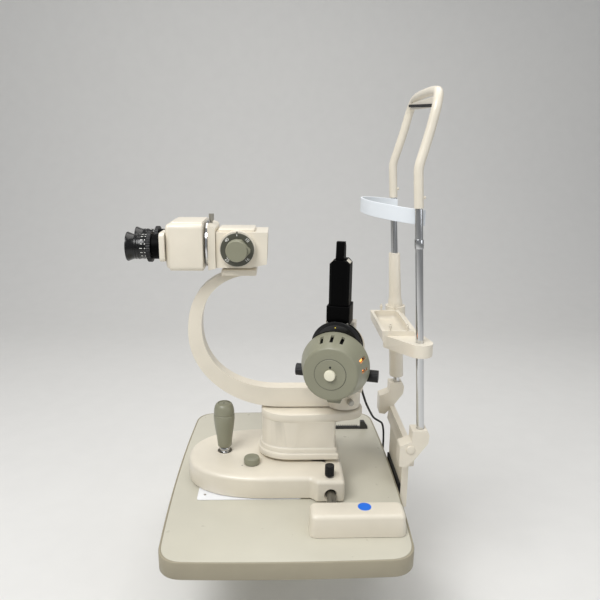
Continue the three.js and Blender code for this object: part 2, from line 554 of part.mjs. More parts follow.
function makeLead() {
  add("lamp_lead", sweep(LEAD, LEAD_R, 44, 8), RUBBER);
  const [x, y, z] = LEAD[LEAD.length - 1];
  const profile = [[0, -62], [6, -62], [6, -40], [8.5, -38], [8.5, -16], [4, -2], [4, -0.3], [0, -0.3]];
  add("lead_plug", turned(profile, "z", [x, y, z], 16), BLACK);
  const [gx, gy, gz] = LEAD[0];
  const gland = [[0, 0.3], [3.4, 0.3], [4.6, 14], [0, 14]];
  add("lead_gland", turned(gland, "z", [gx, gy, gz], 16), RUBBER);
}

makeTable();
makeRails();
makeAxle();
makeBase();
makeJoystick();
makeColumn();
makeMicroscopeArm();
makeChanger();
makeHead();
makeIlluminationArm();
makeSlitHousing();
makeLamp();
makeTower();
object.add(unit);
makeYoke();
makeHeadFrame();
makeForeheadBand();
makeChinRest();
makeLead();

export default object;
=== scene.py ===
"""A slit lamp's looks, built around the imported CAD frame. Lengths in the helpers are millimetres."""

import math

import bmesh
import bpy
from mathutils import Matrix, Vector


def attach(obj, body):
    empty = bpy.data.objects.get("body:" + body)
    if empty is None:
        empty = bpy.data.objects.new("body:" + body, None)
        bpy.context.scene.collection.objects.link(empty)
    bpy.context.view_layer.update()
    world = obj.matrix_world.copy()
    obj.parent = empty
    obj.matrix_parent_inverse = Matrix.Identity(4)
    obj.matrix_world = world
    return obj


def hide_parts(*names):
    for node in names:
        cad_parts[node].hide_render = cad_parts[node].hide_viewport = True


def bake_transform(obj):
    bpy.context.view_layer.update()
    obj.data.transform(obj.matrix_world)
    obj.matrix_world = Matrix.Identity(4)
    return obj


MM = 0.001
HUB = (105, 0, 0)  # the common vertical axis of both arms
STICK = (-113, 0, 0)  # the joystick's axis
DRUM = (-81.5, 0, 457)
BORE = (0, 0, 457)  # the magnification changer's optical axis
SIGHT_Z = 460  # height of the binocular head's optical axis
SIGHT = (0, 0, SIGHT_Z)
EYE_Y = 33
SLIT_Z = 306.5  # centre of the round guard in front of the slit
SIDES = ((-1, "near"), (1, "far"))
DUST = (176, 170, 158)
FLOOR_Z = -0.19
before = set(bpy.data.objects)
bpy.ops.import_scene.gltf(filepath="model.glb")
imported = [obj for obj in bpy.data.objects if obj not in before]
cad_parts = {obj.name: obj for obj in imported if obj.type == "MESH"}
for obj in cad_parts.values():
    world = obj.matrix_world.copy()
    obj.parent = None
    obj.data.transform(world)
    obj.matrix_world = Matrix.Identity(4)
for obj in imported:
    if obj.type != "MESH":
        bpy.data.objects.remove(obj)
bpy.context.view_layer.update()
scene = bpy.context.scene


# ---------- materials ----------
def linear(rgb):
    """0-255 display colour as linear RGBA."""
    out = []
    for c in rgb:
        c /= 255
        out.append(c / 12.92 if c <= 0.04045 else ((c + 0.055) / 1.055) ** 2.4)
    return (*out, 1.0)


def scaled(rgba, k):
    return (rgba[0] * k, rgba[1] * k, rgba[2] * k, 1.0)


def surface(
    name, rgb, rough, metal=0.0, grain=0.0, grain_size=900, mottle=0.04, coat=0.0, dust=0.0, crease_dark=0.06, specular=0.5
):
    """A finish with mottled colour, uneven gloss, fine grain, and a little dust on what faces up."""
    mat = bpy.data.materials.new(name)
    mat.use_nodes = True
    nodes, links = mat.node_tree.nodes, mat.node_tree.links
    shader = nodes["Principled BSDF"]
    base = linear(rgb)
    coords = nodes.new("ShaderNodeTexCoord")

    def noise(size, detail=3):
        n = nodes.new("ShaderNodeTexNoise")
        n.inputs["Scale"].default_value = size
        n.inputs["Detail"].default_value = detail
        links.new(coords.outputs["Object"], n.inputs["Vector"])
        return n.outputs["Fac"]

    ramp = nodes.new("ShaderNodeValToRGB")
    ramp.color_ramp.elements[0].position = 0.3
    ramp.color_ramp.elements[1].position = 0.7
    ramp.color_ramp.elements[0].color = scaled(base, 1 - mottle)
    ramp.color_ramp.elements[1].color = scaled(base, 1 + mottle)
    links.new(noise(18), ramp.inputs["Fac"])
    colour = ramp.outputs["Color"]
    # Concave creases (low pointiness) are darkened, by up to four times this amount; convex edges and flat faces keep
    # their colour.
    if crease_dark:
        curvature = nodes.new("ShaderNodeNewGeometry")
        crease_factor = nodes.new("ShaderNodeMapRange")
        crease_factor.inputs["From Min"].default_value = 0.44
        crease_factor.inputs["From Max"].default_value = 0.5
        crease_factor.inputs["To Min"].default_value = 1 - crease_dark * 4
        crease_factor.inputs["To Max"].default_value = 1.0
        links.new(curvature.outputs["Pointiness"], crease_factor.inputs["Value"])
        crease_darkened = nodes.new("ShaderNodeMix")
        crease_darkened.data_type = "RGBA"
        crease_darkened.blend_type = "MULTIPLY"
        crease_darkened.inputs["Factor"].default_value = 1.0
        links.new(colour, crease_darkened.inputs["A"])
        links.new(crease_factor.outputs["Result"], crease_darkened.inputs["B"])
        colour = crease_darkened.outputs["Result"]
    if dust:
        facing = nodes.new("ShaderNodeNewGeometry")
        split = nodes.new("ShaderNodeSeparateXYZ")
        links.new(facing.outputs["Normal"], split.inputs["Vector"])
        amount = nodes.new("ShaderNodeMapRange")
        amount.inputs["From Min"].default_value = 0.55
        amount.inputs["From Max"].default_value = 1.0
        amount.inputs["To Max"].default_value = dust
        links.new(split.outputs["Z"], amount.inputs["Value"])
        speck = nodes.new("ShaderNodeMath")
        speck.operation = "MULTIPLY"
        links.new(amount.outputs["Result"], speck.inputs[0])
        links.new(noise(260, 6), speck.inputs[1])
        cover = nodes.new("ShaderNodeMix")
        cover.data_type = "RGBA"
        cover.inputs["B"].default_value = linear(DUST)
        links.new(speck.outputs["Value"], cover.inputs["Factor"])
        links.new(colour, cover.inputs["A"])
        colour = cover.outputs["Result"]
    links.new(colour, shader.inputs["Base Color"])
    gloss = nodes.new("ShaderNodeMapRange")
    gloss.inputs["To Min"].default_value = max(rough - 0.07, 0.02)
    gloss.inputs["To Max"].default_value = min(rough + 0.08, 1.0)
    links.new(noise(55, 4), gloss.inputs["Value"])
    links.new(gloss.outputs["Result"], shader.inputs["Roughness"])
    if grain:
        bump = nodes.new("ShaderNodeBump")
        bump.inputs["Strength"].default_value = grain
        bump.inputs["Distance"].default_value = 0.0004
        links.new(noise(grain_size, 2), bump.inputs["Height"])
        links.new(bump.outputs["Normal"], shader.inputs["Normal"])
    shader.inputs["Metallic"].default_value = metal
    shader.inputs["Specular IOR Level"].default_value = specular
    shader.inputs["Coat Weight"].default_value = coat
    shader.inputs["Coat Roughness"].default_value = 0.12
    return mat


def brushed(name, rgb, rough, stretch):
    """Turned or drawn metal: fine lines across one direction."""
    mat = surface(name, rgb, rough, metal=1.0, mottle=0.06, crease_dark=0.03)
    nodes, links = mat.node_tree.nodes, mat.node_tree.links
    coords = nodes.new("ShaderNodeTexCoord")
    stretched = nodes.new("ShaderNodeMapping")
    stretched.inputs["Scale"].default_value = stretch
    lines = nodes.new("ShaderNodeTexNoise")
    lines.inputs["Scale"].default_value = 60
    links.new(coords.outputs["Object"], stretched.inputs["Vector"])
    links.new(stretched.outputs["Vector"], lines.inputs["Vector"])
    bump = nodes.new("ShaderNodeBump")
    bump.inputs["Strength"].default_value = 0.12
    bump.inputs["Distance"].default_value = 0.0003
    links.new(lines.outputs["Fac"], bump.inputs["Height"])
    links.new(bump.outputs["Normal"], nodes["Principled BSDF"].inputs["Normal"])
    return mat


def plain(name, rgb):
    """A material and its shader, with the colour set."""
    mat = bpy.data.materials.new(name)
    mat.use_nodes = True
    shader = mat.node_tree.nodes["Principled BSDF"]
    shader.inputs["Base Color"].default_value = linear(rgb)
    return mat, shader


def glassy(name, rgb, rough=0.02):
    mat, shader = plain(name, rgb)
    shader.inputs["Roughness"].default_value = rough
    shader.inputs["Transmission Weight"].default_value = 0.85
    shader.inputs["IOR"].default_value = 1.5
    shader.inputs["Coat Weight"].default_value = 0.6
    return mat


def glowing(name, rgb, strength):
    mat, shader = plain(name, rgb)
    shader.inputs["Emission Color"].default_value = linear(rgb)
    shader.inputs["Emission Strength"].default_value = strength
    return mat


CREAM = surface("cream_paint", (225, 217, 200), 0.36, grain=0.08, coat=0.25, dust=0.02)
CREAM_PLASTIC = surface("cream_plastic", (221, 213, 196), 0.42, grain=0.12, grain_size=1500, dust=0.03)
OLIVE = surface("olive_plastic", (137, 136, 116), 0.34, grain=0.15, grain_size=1600, dust=0.02)
DARK_OLIVE = surface("dial_face", (78, 78, 66), 0.35, grain=0.08, coat=0.2)
BLACK = surface("black_enamel", (3, 3, 3), 0.5, grain=0.06, mottle=0.2, specular=0.06)
GLOSS_BLACK = surface("gloss_black", (8, 8, 9), 0.14, coat=0.4, specular=0.35)
BLACK_PLASTIC = surface("black_plastic", (24, 24, 26), 0.45, grain=0.2, grain_size=1800, dust=0.02, specular=0.35)
RUBBER = surface("rubber", (18, 18, 19), 0.62, grain=0.25, grain_size=2200, dust=0.03, specular=0.3)
EYECUP = surface("eyecup_rubber", (9, 9, 10), 0.26, grain=0.05, coat=0.15, specular=0.4)
CHROME = surface("chrome", (209, 210, 211), 0.12, metal=1.0, mottle=0.02, crease_dark=0)
STEEL = brushed("steel", (140, 138, 133), 0.3, (1, 30, 1))
RACK = surface("rack_steel", (84, 84, 84), 0.34, metal=1.0, grain=0.1)
ZINC = surface("zinc_screw", (178, 175, 167), 0.38, metal=1.0, grain=0.1)
WHITE = surface("white_plastic", (238, 239, 241), 0.38, grain=0.04, mottle=0.015)
BAND_WHITE = surface("band_white", (226, 231, 235), 0.5, grain=0.15, grain_size=1400, mottle=0.02)
CREAM_BUTTON = surface("button_cream", (232, 228, 205), 0.35)
LAMINATE = surface("laminate", (200, 196, 180), 0.3, grain=0.1, grain_size=1300, mottle=0.02, crease_dark=0.02)
EDGE = surface("edge_strip", (158, 150, 129), 0.55, grain=0.3, grain_size=1200, mottle=0.05)
MARK = surface("mark_white", (232, 232, 226), 0.5, crease_dark=0)
MARK_BLACK = surface("mark_black", (16, 16, 16), 0.5, crease_dark=0)
MARK_YELLOW = surface("mark_yellow", (232, 205, 70), 0.45, crease_dark=0)
STICKER = surface("sticker_blue", (22, 112, 226), 0.4, mottle=0.02, crease_dark=0)
# Near-black for painted shade inside the lamp housing.
SHADE_FILL = surface("painted_shade_inside", (9, 9, 9), 0.8, crease_dark=0)
GLASS = glassy("lens_glass", (214, 228, 226))
AMBER = glowing("lamp_glow", (255, 150, 70), 3.0)


# ---------- 2D outlines ----------
def rounded(points, radius, closed=True, seg=5):
    """The outline with each corner rounded; radius is one number or one for each corner."""
    out = []
    count = len(points)
    for i, p in enumerate(points):
        r = radius[i] if isinstance(radius, (list, tuple)) else radius
        if r <= 0 or (not closed and i in (0, count - 1)):
            out.append(tuple(p))
            continue
        here = Vector(p)
        back = Vector(points[i - 1]) - here
        ahead = Vector(points[(i + 1) % count]) - here
        turn = math.pi - back.angle(ahead)
        reach = min(r * math.tan(turn / 2), back.length * 0.49, ahead.length * 0.49)
        a, b = here + back.normalized() * reach, here + ahead.normalized() * reach
        for k in range(seg + 1):
            t = k / seg
            out.append(tuple(a * (1 - t) ** 2 + here * 2 * t * (1 - t) + b * t * t))
    return out


def bezier(p0, p1, p2, p3, n=20):
    """Points along a cubic, without its first one."""
    out = []
    for k in range(1, n + 1):
        t = k / n
        s = 1 - t
        out.append(
            tuple(s**3 * a + 3 * s * s * t * b + 3 * s * t * t * c + t**3 * d for a, b, c, d in zip(p0, p1, p2, p3))
        )
    return out


def arc(cx, cy, r, start, end, n=24):
    """Points on a circle between two angles in degrees."""
    angles = [math.radians(start + (end - start) * k / n) for k in range(n + 1)]
    return [(cx + r * math.cos(a), cy + r * math.sin(a)) for a in angles]


def rect(x0, x1, y0, y1, r=0.0, seg=6):
    return rounded([(x0, y0), (x1, y0), (x1, y1), (x0, y1)], r, seg=seg)


def ridged(cx, cy, r, count, depth, per=6):
    """A circle with rounded ridges round it."""
    steps = count * per
    out = []
    for k in range(steps):
        a = 2 * math.pi * k / steps
        reach = r - depth * (0.5 - 0.5 * math.cos(count * a)) ** 0.7
        out.append((cx + reach * math.cos(a), cy + reach * math.sin(a)))
    return out


# ---------- solids ----------
def link(name, mesh):
    ob = bpy.data.objects.new(name, mesh)
    scene.collection.objects.link(ob)
    return ob


def from_bmesh(name, bm):
    bmesh.ops.remove_doubles(bm, verts=bm.verts, dist=1e-6)
    bmesh.ops.recalc_face_normals(bm, faces=bm.faces)
    mesh = bpy.data.meshes.new(name)
    bm.to_mesh(mesh)
    bm.free()
    return link(name, mesh)


def loft(name, rings, caps=True):
    """Rings of (x, y, z) with equal counts, joined one to the next and closed at both ends."""
    bm = bmesh.new()
    rows = [[bm.verts.new([c * MM for c in p]) for p in ring] for ring in rings]
    count = len(rows[0])
    for a, b in zip(rows, rows[1:]):
        for i in range(count):
            j = (i + 1) % count
            bm.faces.new((a[i], a[j], b[j], b[i]))
    if caps:
        bm.faces.new(rows[0][::-1])
        bm.faces.new(rows[-1])
    return from_bmesh(name, bm)


def level(outline, z):
    """A flat outline as a loft's ring at height z."""
    return [(x, y, z) for x, y in outline]


def at(axis, u, v, w):
    """Outline coordinates u, v and the distance w along the axis as x, y, z."""
    return {"x": (w, u, v), "y": (u, w, v), "z": (u, v, w)}[axis]


def prism(name, outline, axis, low, high):
    return loft(name, [[at(axis, u, v, w) for u, v in outline] for w in (low, high)])


def pillow(name, outline, axis, low, high, r_low, r_high, seg=5):
    """A prism of outline(inset) with its rims rounded over."""
    rings = []
    for k in range(seg + 1):
        a = math.pi / 2 * k / seg
        inset = r_low * (1 - math.sin(a))
        rings.append([at(axis, u, v, low + r_low * (1 - math.cos(a))) for u, v in outline(inset)])
    for k in range(seg + 1):
        a = math.pi / 2 * k / seg
        inset = r_high * (1 - math.cos(a))
        rings.append([at(axis, u, v, high - r_high * (1 - math.sin(a))) for u, v in outline(inset)])
    return loft(name, rings)


def cuboid(name, x0, x1, y0, y1, z0, z1):
    return prism(name, rect(x0, x1, y0, y1), "z", z0, z1)


def spin(name, profile, axis, centre=(0, 0, 0), steps=72):
    """A closed profile of (radius, distance along the axis) turned about the axis."""
    rings = []
    for u, w in profile:
        ring = []
        for k in range(steps):
            a = 2 * math.pi * k / steps
            x, y, z = at(axis, u * math.cos(a), u * math.sin(a), w)
            ring.append((x + centre[0], y + centre[1], z + centre[2]))
        rings.append(ring)
    rings.append(rings[0])
    return loft(name, rings, caps=False)


def rod(name, r, axis, low, high, centre=(0, 0, 0), steps=48):
    return spin(name, [(0, low), (r, low), (r, high), (0, high)], axis, centre, steps)


def catmull(points, steps):
    """The centripetal curve through the points, cut into pieces of nearly equal length."""
    pts = [Vector(p) for p in points]
    pts = [pts[0] * 2 - pts[1], *pts, pts[-1] * 2 - pts[-2]]
    fine = []
    for i in range(1, len(pts) - 2):
        p = pts[i - 1 : i + 3]
        t = [0.0]
        for a, b in zip(p, p[1:]):
            t.append(t[-1] + max((b - a).length ** 0.5, 1e-6))
        for k in range(40):
            x = t[1] + (t[2] - t[1]) * k / 40
            row = list(p)
            for step in (1, 2, 3):
                spans = [(t[j], t[j + step]) if step < 3 else (t[1], t[2]) for j in range(4 - step)]
                row = [(a * (hi - x) + b * (x - lo)) / (hi - lo) for a, b, (lo, hi) in zip(row, row[1:], spans)]
            fine.append(row[0])
    fine.append(pts[-2])
    total = [0.0]
    for a, b in zip(fine, fine[1:]):
        total.append(total[-1] + (b - a).length)
    out, j = [], 0
    for k in range(steps + 1):
        want = total[-1] * k / steps
        while j < len(total) - 2 and total[j + 1] < want:
            j += 1
        share = (want - total[j]) / max(total[j + 1] - total[j], 1e-9)
        out.append(fine[j].lerp(fine[j + 1], min(max(share, 0), 1)))
    return out


def tube(name, line, r, sides=24):
    """A round tube along points, turned as little as possible on the way."""
    rings = []
    tangent = (line[1] - line[0]).normalized()
    side = tangent.orthogonal().normalized()
    for i, p in enumerate(line):
        new = (line[min(i + 1, len(line) - 1)] - line[max(i - 1, 0)]).normalized()
        side = (side - new * side.dot(new)).normalized()
        up = new.cross(side)
        ring = []
        for k in range(sides):
            a = 2 * math.pi * k / sides
            ring.append(tuple(p + side * math.cos(a) * r + up * math.sin(a) * r))
        rings.append(ring)
    return loft(name, rings)


def combine(ob, operation, tools):
    for tool in tools:
        mod = ob.modifiers.new("combine", "BOOLEAN")
        mod.object = tool
        mod.operation = operation
        mod.solver = "EXACT"
    graph = bpy.context.evaluated_depsgraph_get()
    mesh = bpy.data.meshes.new_from_object(ob.evaluated_get(graph))
    ob.modifiers.clear()
    ob.data = mesh
    for tool in tools:
        bpy.data.objects.remove(tool)
    return ob


def cut(ob, *tools):
    return combine(ob, "DIFFERENCE", tools)


def fuse(ob, *tools):
    return combine(ob, "UNION", tools)


def move(ob, matrix):
    ob.data.transform(matrix)
    if matrix.determinant() < 0:
        ob.data.flip_normals()
    return ob


def joined(name, objects):
    """Several separate meshes as one object."""
    bm = bmesh.new()
    for ob in objects:
        bm.from_mesh(ob.data)
        bpy.data.objects.remove(ob)
    mesh = bpy.data.meshes.new(name)
    bm.to_mesh(mesh)
    bm.free()
    return link(name, mesh)


def dress(ob, material, body, nodes=(), bevel=0.0, angle=32, seg=3, slot=None):
    """Gives the piece its finish, softened edges and body, and hides the CAD nodes that it stands for."""
    ob.data.materials.clear()
    ob.data.materials.append(material)
    ob.data.shade_smooth()
    ob.data.set_sharp_from_angle(angle=math.radians(angle))
    if bevel:
        mod = ob.modifiers.new("bevel", "BEVEL")
        mod.width = bevel * MM
        mod.segments = seg
        mod.limit_method = "ANGLE"
        mod.angle_limit = math.radians(angle)
        mod.harden_normals = True
    if body:
        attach(ob, body)
    if nodes:
        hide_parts(*([nodes] if isinstance(nodes, str) else nodes))
    return ob


def keep(node, material, bevel=0.0):
    """Shows a CAD node as it is, with its own finish."""
    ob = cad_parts[node]
    ob.data.materials.clear()
    ob.data.materials.append(material)
    if bevel:
        mod = ob.modifiers.new("bevel", "BEVEL")
        mod.width = bevel * MM
        mod.segments = 2
        mod.limit_method = "ANGLE"
    return ob


def screw(name, centre, axis, body, r=2.6, head=1.2, slot_width=0.7, material=None):
    """A slotted pan head whose flat side sits at the centre point, facing along a unit vector."""
    profile = [(0, 0), (r, 0), (r, head * 0.55), (r * 0.8, head * 0.95), (0, head)]
    ob = spin(name, profile, "z", steps=28)
    cut(ob, cuboid("slot", -r * 2, r * 2, -slot_width / 2, slot_width / 2, head * 0.45, head * 2))
    turn = Vector((0, 0, 1)).rotation_difference(Vector(axis)).to_matrix().to_4x4()
    move(ob, Matrix.Translation(Vector(centre) * MM) @ turn)
    return dress(ob, material or ZINC, body, bevel=0.15)


# ---------- table ----------
def table_outline(inset, n=14):
    hx, hy, bow_x, bow_y, corner = 201.4 - inset, 260 - inset, 6, 3, 38
    cx, cy = hx - bow_x, hy - bow_y
    quarter = [
        ((-cx + corner, -cy), (0, -cy - 2 * bow_y), (cx - corner, -cy)),
        ((cx - corner, -cy), (cx - 3, -cy + 2), (cx, -cy + corner)),
        ((cx, -cy + corner), (cx + 2 * bow_x, 0), (cx, cy - corner)),
        ((cx, cy - corner), (cx - 3, cy - 2), (cx - corner, cy)),
        ((cx - corner, cy), (0, cy + 2 * bow_y), (-cx + corner, cy)),
        ((-cx + corner, cy), (-cx + 3, cy - 2), (-cx, cy - corner)),
        ((-cx, cy - corner), (-cx - 2 * bow_x, 0), (-cx, -cy + corner)),
        ((-cx, -cy + corner), (-cx + 3, -cy + 2), (-cx + corner, -cy)),
    ]
    out = []
    for a, c, b in quarter:
        for k in range(n):
            t = k / n
            out.append(tuple((1 - t) ** 2 * p + 2 * t * (1 - t) * q + t * t * s for p, q, s in zip(a, c, b)))
    return out


def build_table():
    top = pillow("table_top", lambda i: table_outline(3.2 + i), "z", 0, 30, 0.4, 0.8, seg=3)
    dress(top, LAMINATE, "table", "table_panel", slot="laminate")
    band = [(0, 2.4), (0, 15), (0, 27.6), (0.7, 29.3), (2.4, 30), (3, 29.6), (3, 0.4), (2.4, 0), (0.7, 0.7)]
    rings = [level(table_outline(inset), z) for inset, z in band]
    dress(loft("edge_band", [*rings, rings[0]], caps=False), EDGE, "table", "table_edge_band", slot="edge_strip")
    plate = prism("glide", rect(-154, 26, -96, 96, 5), "z", 30.3, 31.6)
    dress(plate, WHITE, "table", "glide_plate", bevel=0.3)
    for i, (x, y) in enumerate([(-141.5, -81), (-141.5, 81), (13, -81), (13, 81)]):
        screw(f"glide_screw_{i}", (x, y, 31.5), (0, 0, 1), "table", r=2.3, head=0.7)


def build_rails():
    keep("near_rack", RACK, 0.1)
    keep("far_rack", RACK, 0.1)
    walls = [(0.6, 30.4), (0, 31), (0.8, 45), (1.8, 60)]
    walls += [(1.8 + 7 * (1 - math.cos(a)), 60 + 7 * math.sin(a)) for a in [math.radians(15 * k) for k in range(1, 7)]]
    cover = loft("rail_cover", [level(rect(35 + i, 188 - i, -204 + i, -157 - i, 12 - i * 0.6), z) for i, z in walls])
    inner = prism("inner", rect(38.2, 184.8, -200.8, -160.2, 6), "z", 20, 58)
    cut(cover, inner, cuboid("gate", 40, 150, -161, -150, 20, 58))
    dress(cover, CREAM, "table", "near_rail_cover", bevel=0.5, angle=40)
    dress(rod("sticker", 10.8, "z", 66.95, 67.15, (123.5, -176, 0), 64), STICKER, "table")


# ---------- carriage ----------
def base_outline(inset, steps=40):
    middle, right = -28, 100 - inset
    ry, wide = 97 - inset, 108 - inset
    side = [(42 + inset * 0.4, -ry), (52 + inset * 0.4, -wide), (right, -wide)]
    corner = rounded(
        [(middle + 40, -ry), *side, (right, wide), (52 + inset * 0.4, wide), (42 + inset * 0.4, ry), (middle + 40, ry)],
        [0, 9, 9, 9, 9, 9, 9, 0], seg=6,
    )
    out = list(corner)
    for k in range(steps + 1):
        a = math.pi / 2 + math.pi * k / steps
        c, s = math.cos(a), math.sin(a)
        out.append((middle - (150 - inset) * abs(c) ** 0.87, ry * math.copysign(abs(s) ** 0.87, s)))
    return out


def build_carriage():
    axle = (76, 0, 45)
    keep("pinion_axle", STEEL)
    guide = [(6.4, -166), (7.6, -166), (8, -165.6), (8, 165.6), (7.6, 166), (6.4, 166)]
    dress(spin("guide_tube", guide, "y", axle), STEEL, "cross_slide", "axle_guide_tube")
    rings = []
    for inset, z in [(1, 33), (0.2, 33.4), (0, 34.5), (0, 50), (0, 64)]:
        rings.append(level(base_outline(inset), z))
    for k in range(1, 8):
        a = math.pi / 2 * k / 7
        rings.append(level(base_outline(8 * (1 - math.cos(a))), 64 + 7.5 * math.sin(a)))
    for inset, z in [(16, 72.2), (30, 72.8), (55, 73)]:
        rings.append(level(base_outline(inset), z))
    base = loft("base", rings)
    cut(
        base,
        rod("a", 9.4, "y", -130, 130, axle),
        rod("b", 11.5, "y", -112, -105, axle),
        rod("c", 14.2, "z", 38, 90, STICK),
        rod("d", 21, "z", 28, 90, (22, 0, 0)),
    )
    dress(base, CREAM, "carriage", "base_housing", bevel=0.5, angle=40)
    keep("elevation_post", STEEL)
    collar = [(13.2, 70), (14.8, 70), (14.8, 73.4), (14, 74), (13.2, 73.4)]
    dress(spin("stick_collar", collar, "z", STICK), CREAM, "carriage")
    knob = prism("lock_knob", ridged(74, -93, 8, 22, 0.7), "z", 74.8, 93.8)
    cut(knob, rod("dish", 5, "z", 93.3, 95, (74, -93, 0)))
    fuse(knob, rod("neck", 4.8, "z", 73.3, 76, (74, -93, 0)))
    dress(knob, BLACK_PLASTIC, "lock", "base_lock_knob", bevel=0.35)
    dial = [(0, 73.4), (13.4, 73.4), (14.1, 74.4), (14.2, 81.6), (13.4, 84.4), (11.8, 85.4), (10.8, 85), (0, 84.8)]
    dress(spin("brightness_dial", dial, "z", (-61, -47, 0)), OLIVE, "brightness", "brightness_knob")
    dress(rod("brightness_dot", 0.9, "z", 73, 73.25, (-78, -55, 0), 20), MARK_BLACK, "carriage")


def build_joystick():
    ring = [(9.7, 49), (12.6, 49), (13, 49.4), (13, 56.6), (12.6, 57), (9.7, 57)]
    dress(spin("gimbal_ring", ring, "z", STICK), STEEL, "gimbal", "joystick_gimbal")
    shaft = [(0, 34), (3, 35), (4, 44.6), (6.8, 46.8), (8.5, 49.5), (9.1, 53), (8.6, 56.2), (7.2, 58.4), (6.6, 60)]
    shaft += [
        (6.6, 66), (8, 66.4), (8.6, 67), (8.6, 73.2), (8.2, 74), (7.4, 74.4), (7.4, 76), (9, 76.4), (9, 80.2),
        (8.4, 81), (5.3, 81),
    ]
    shaft += [(5.3, 158), (0, 158)]
    dress(spin("stick_shaft", shaft, "z", STICK), CHROME, "stick", "joystick_shaft", angle=40)
    grip = [
        (5.5, 84), (12, 84), (12.7, 84.8), (13.4, 93), (14.6, 104), (16.6, 117), (18.2, 129), (19, 139), (18.9, 146),
    ]
    grip += [(18.4, 147.2), (17.9, 147.8), (18.3, 148.6), (18.6, 151), (18, 157), (16.6, 162.5), (14.6, 166.3)]
    grip += [(12.4, 168.2), (11.2, 168.4), (10.9, 167), (6, 167.6), (0, 167.8), (0, 160), (5.5, 160)]
    dress(spin("stick_grip", grip, "z", STICK, 96), OLIVE, "handle", "joystick_handle", angle=45)
    dress(rod("grip_dot", 1.3, "z", 167.4, 168, STICK, 20), MARK_BLACK, "handle")


# ---------- column ----------
def column_front(left, hy, n=14):
    """The rounded side that faces the user, from +Y to -Y."""
    upper = bezier((left + 60, hy), (left + 24, hy), (left, hy * 0.62), (left, 0), n)
    return upper + bezier((left, 0), (left, -hy * 0.62), (left + 24, -hy), (left + 60, -hy), n)


def column_outline(grow, n=14):
    """The column's plan, larger all round by grow."""
    hy, left, right = 42 + grow, -44 - grow, 88 + grow
    out = rounded([(left + 60, -hy), (right, -hy), (right, hy), (left + 60, hy)], [0, 5, 5, 0], seg=6)
    return out + column_front(left, hy, n)[:-1]


def nose_outline(grow, n=20):
    """The plan of the column's deck, which reaches round the hub."""
    r = 34 + grow
    hy = 42 + grow
    out = [(HUB[0] + r * math.cos(a), r * math.sin(a)) for a in [math.radians(-88 + 176 * k / n) for k in range(n + 1)]]
    left = -44 - grow
    return [*out, (72, hy - 1.5), (left + 60, hy), *column_front(left, hy), (72, -hy + 1.5)]


def build_column():
    rings = []
    for grow, z in [
        (5.6, 79), (6.4, 79.5), (6.6, 80.5), (6.6, 87), (6, 88.6), (4.2, 89.6), (3.4, 90.4), (3.2, 92), (3.2, 96.4),
        (2.6, 97.8), (0.9, 98.6), (0.2, 99.8), (0, 101),
    ]:
        rings.append(level(column_outline(grow), z))
    rings.append(level(column_outline(0), 149))
    body = loft("column_body", rings)
    top = []
    for grow, z in [(-0.6, 148), (0.3, 148.4), (0.6, 149.2), (0.6, 160), (0, 162), (-1.6, 163), (-12, 163)]:
        top.append(level(nose_outline(grow), z))
    deck = loft("deck", top)
    gusset = prism("gusset", [(84, 140), (126, 149.4), (84, 149.4)], "y", -26, 26)
    hollow = loft("hollow", [level(column_outline(-4), z) for z in (70, 146)])
    fuse(body, deck, gusset)
    cut(body, hollow, rod("pin", 10.4, "z", 130, 170, HUB))
    dress(body, CREAM, "column", "column_cover", bevel=0.4, angle=40)
    skirt = loft(
        "column_skirt", [level(column_outline(g), z) for g, z in [(-5, 73.3), (-5, 97), (-7, 97), (-7, 73.3)]],
        caps=False,
    )
    dress(skirt, CREAM, "carriage")
    keep("elevation_sleeve", STEEL)
    keep("hub_pin", STEEL)


# ---------- microscope ----------


def build_arm():
    s = [(105, 166), (105, 202), (-15, 202)]
    s += bezier((-15, 202), (-85, 202), (-147.5, 240), (-147.5, 316), 28)
    s += bezier((-147.5, 316), (-147.5, 365), (-122, 400), (-68, 409), 22)
    s += [(-110, 409)]
    s += bezier((-110, 409), (-150, 395), (-171, 360), (-171, 305), 24)
    s += bezier((-171, 305), (-171, 225), (-95, 166), (-10, 166), 34)
    limb = prism("limb", s, "y", -13, 13)
    hub = rod("hub", 30, "z", 166, 202.6, HUB, 96)
    fuse(limb, hub, rod("foot", 20, "z", 163.4, 167, HUB))
    aim = Matrix.Translation((0.105, 0, 0.184)) @ Matrix.Rotation(math.radians(-77), 4, "Z")
    boss = move(spin("boss", [(0, 18), (7.5, 18), (7.5, 30.6), (6.8, 31.4), (0, 31.4)], "x"), aim)
    fuse(limb, boss)
    cut(limb, rod("pin", 10.4, "z", 150, 210, HUB), move(rod("tap", 3.4, "x", 17, 40), aim))
    dress(limb, CREAM, "microscope", "microscope_arm", bevel=1.6, angle=50, seg=4)
    shank = rod("shank", 3, "x", 17.4, 33)
    head = prism("knurl", ridged(0, 0, 5.6, 20, 0.5), "x", 32, 42)
    clamp = move(fuse(head, shank, rod("tip", 3.8, "x", 41.8, 43.4)), aim)
    dress(clamp, ZINC, "swing_screw", "swing_clamp_screw", bevel=0.3)
    plate = pillow(
        "mount_plate", lambda i: rect(-110 + i, -51 - i, 409.4 + i, 420.4 - i, 3.5), "y", -26, 26, 1.5, 1.5, seg=3,
    )
    dress(plate, CREAM, "microscope", "microscope_mount_plate")


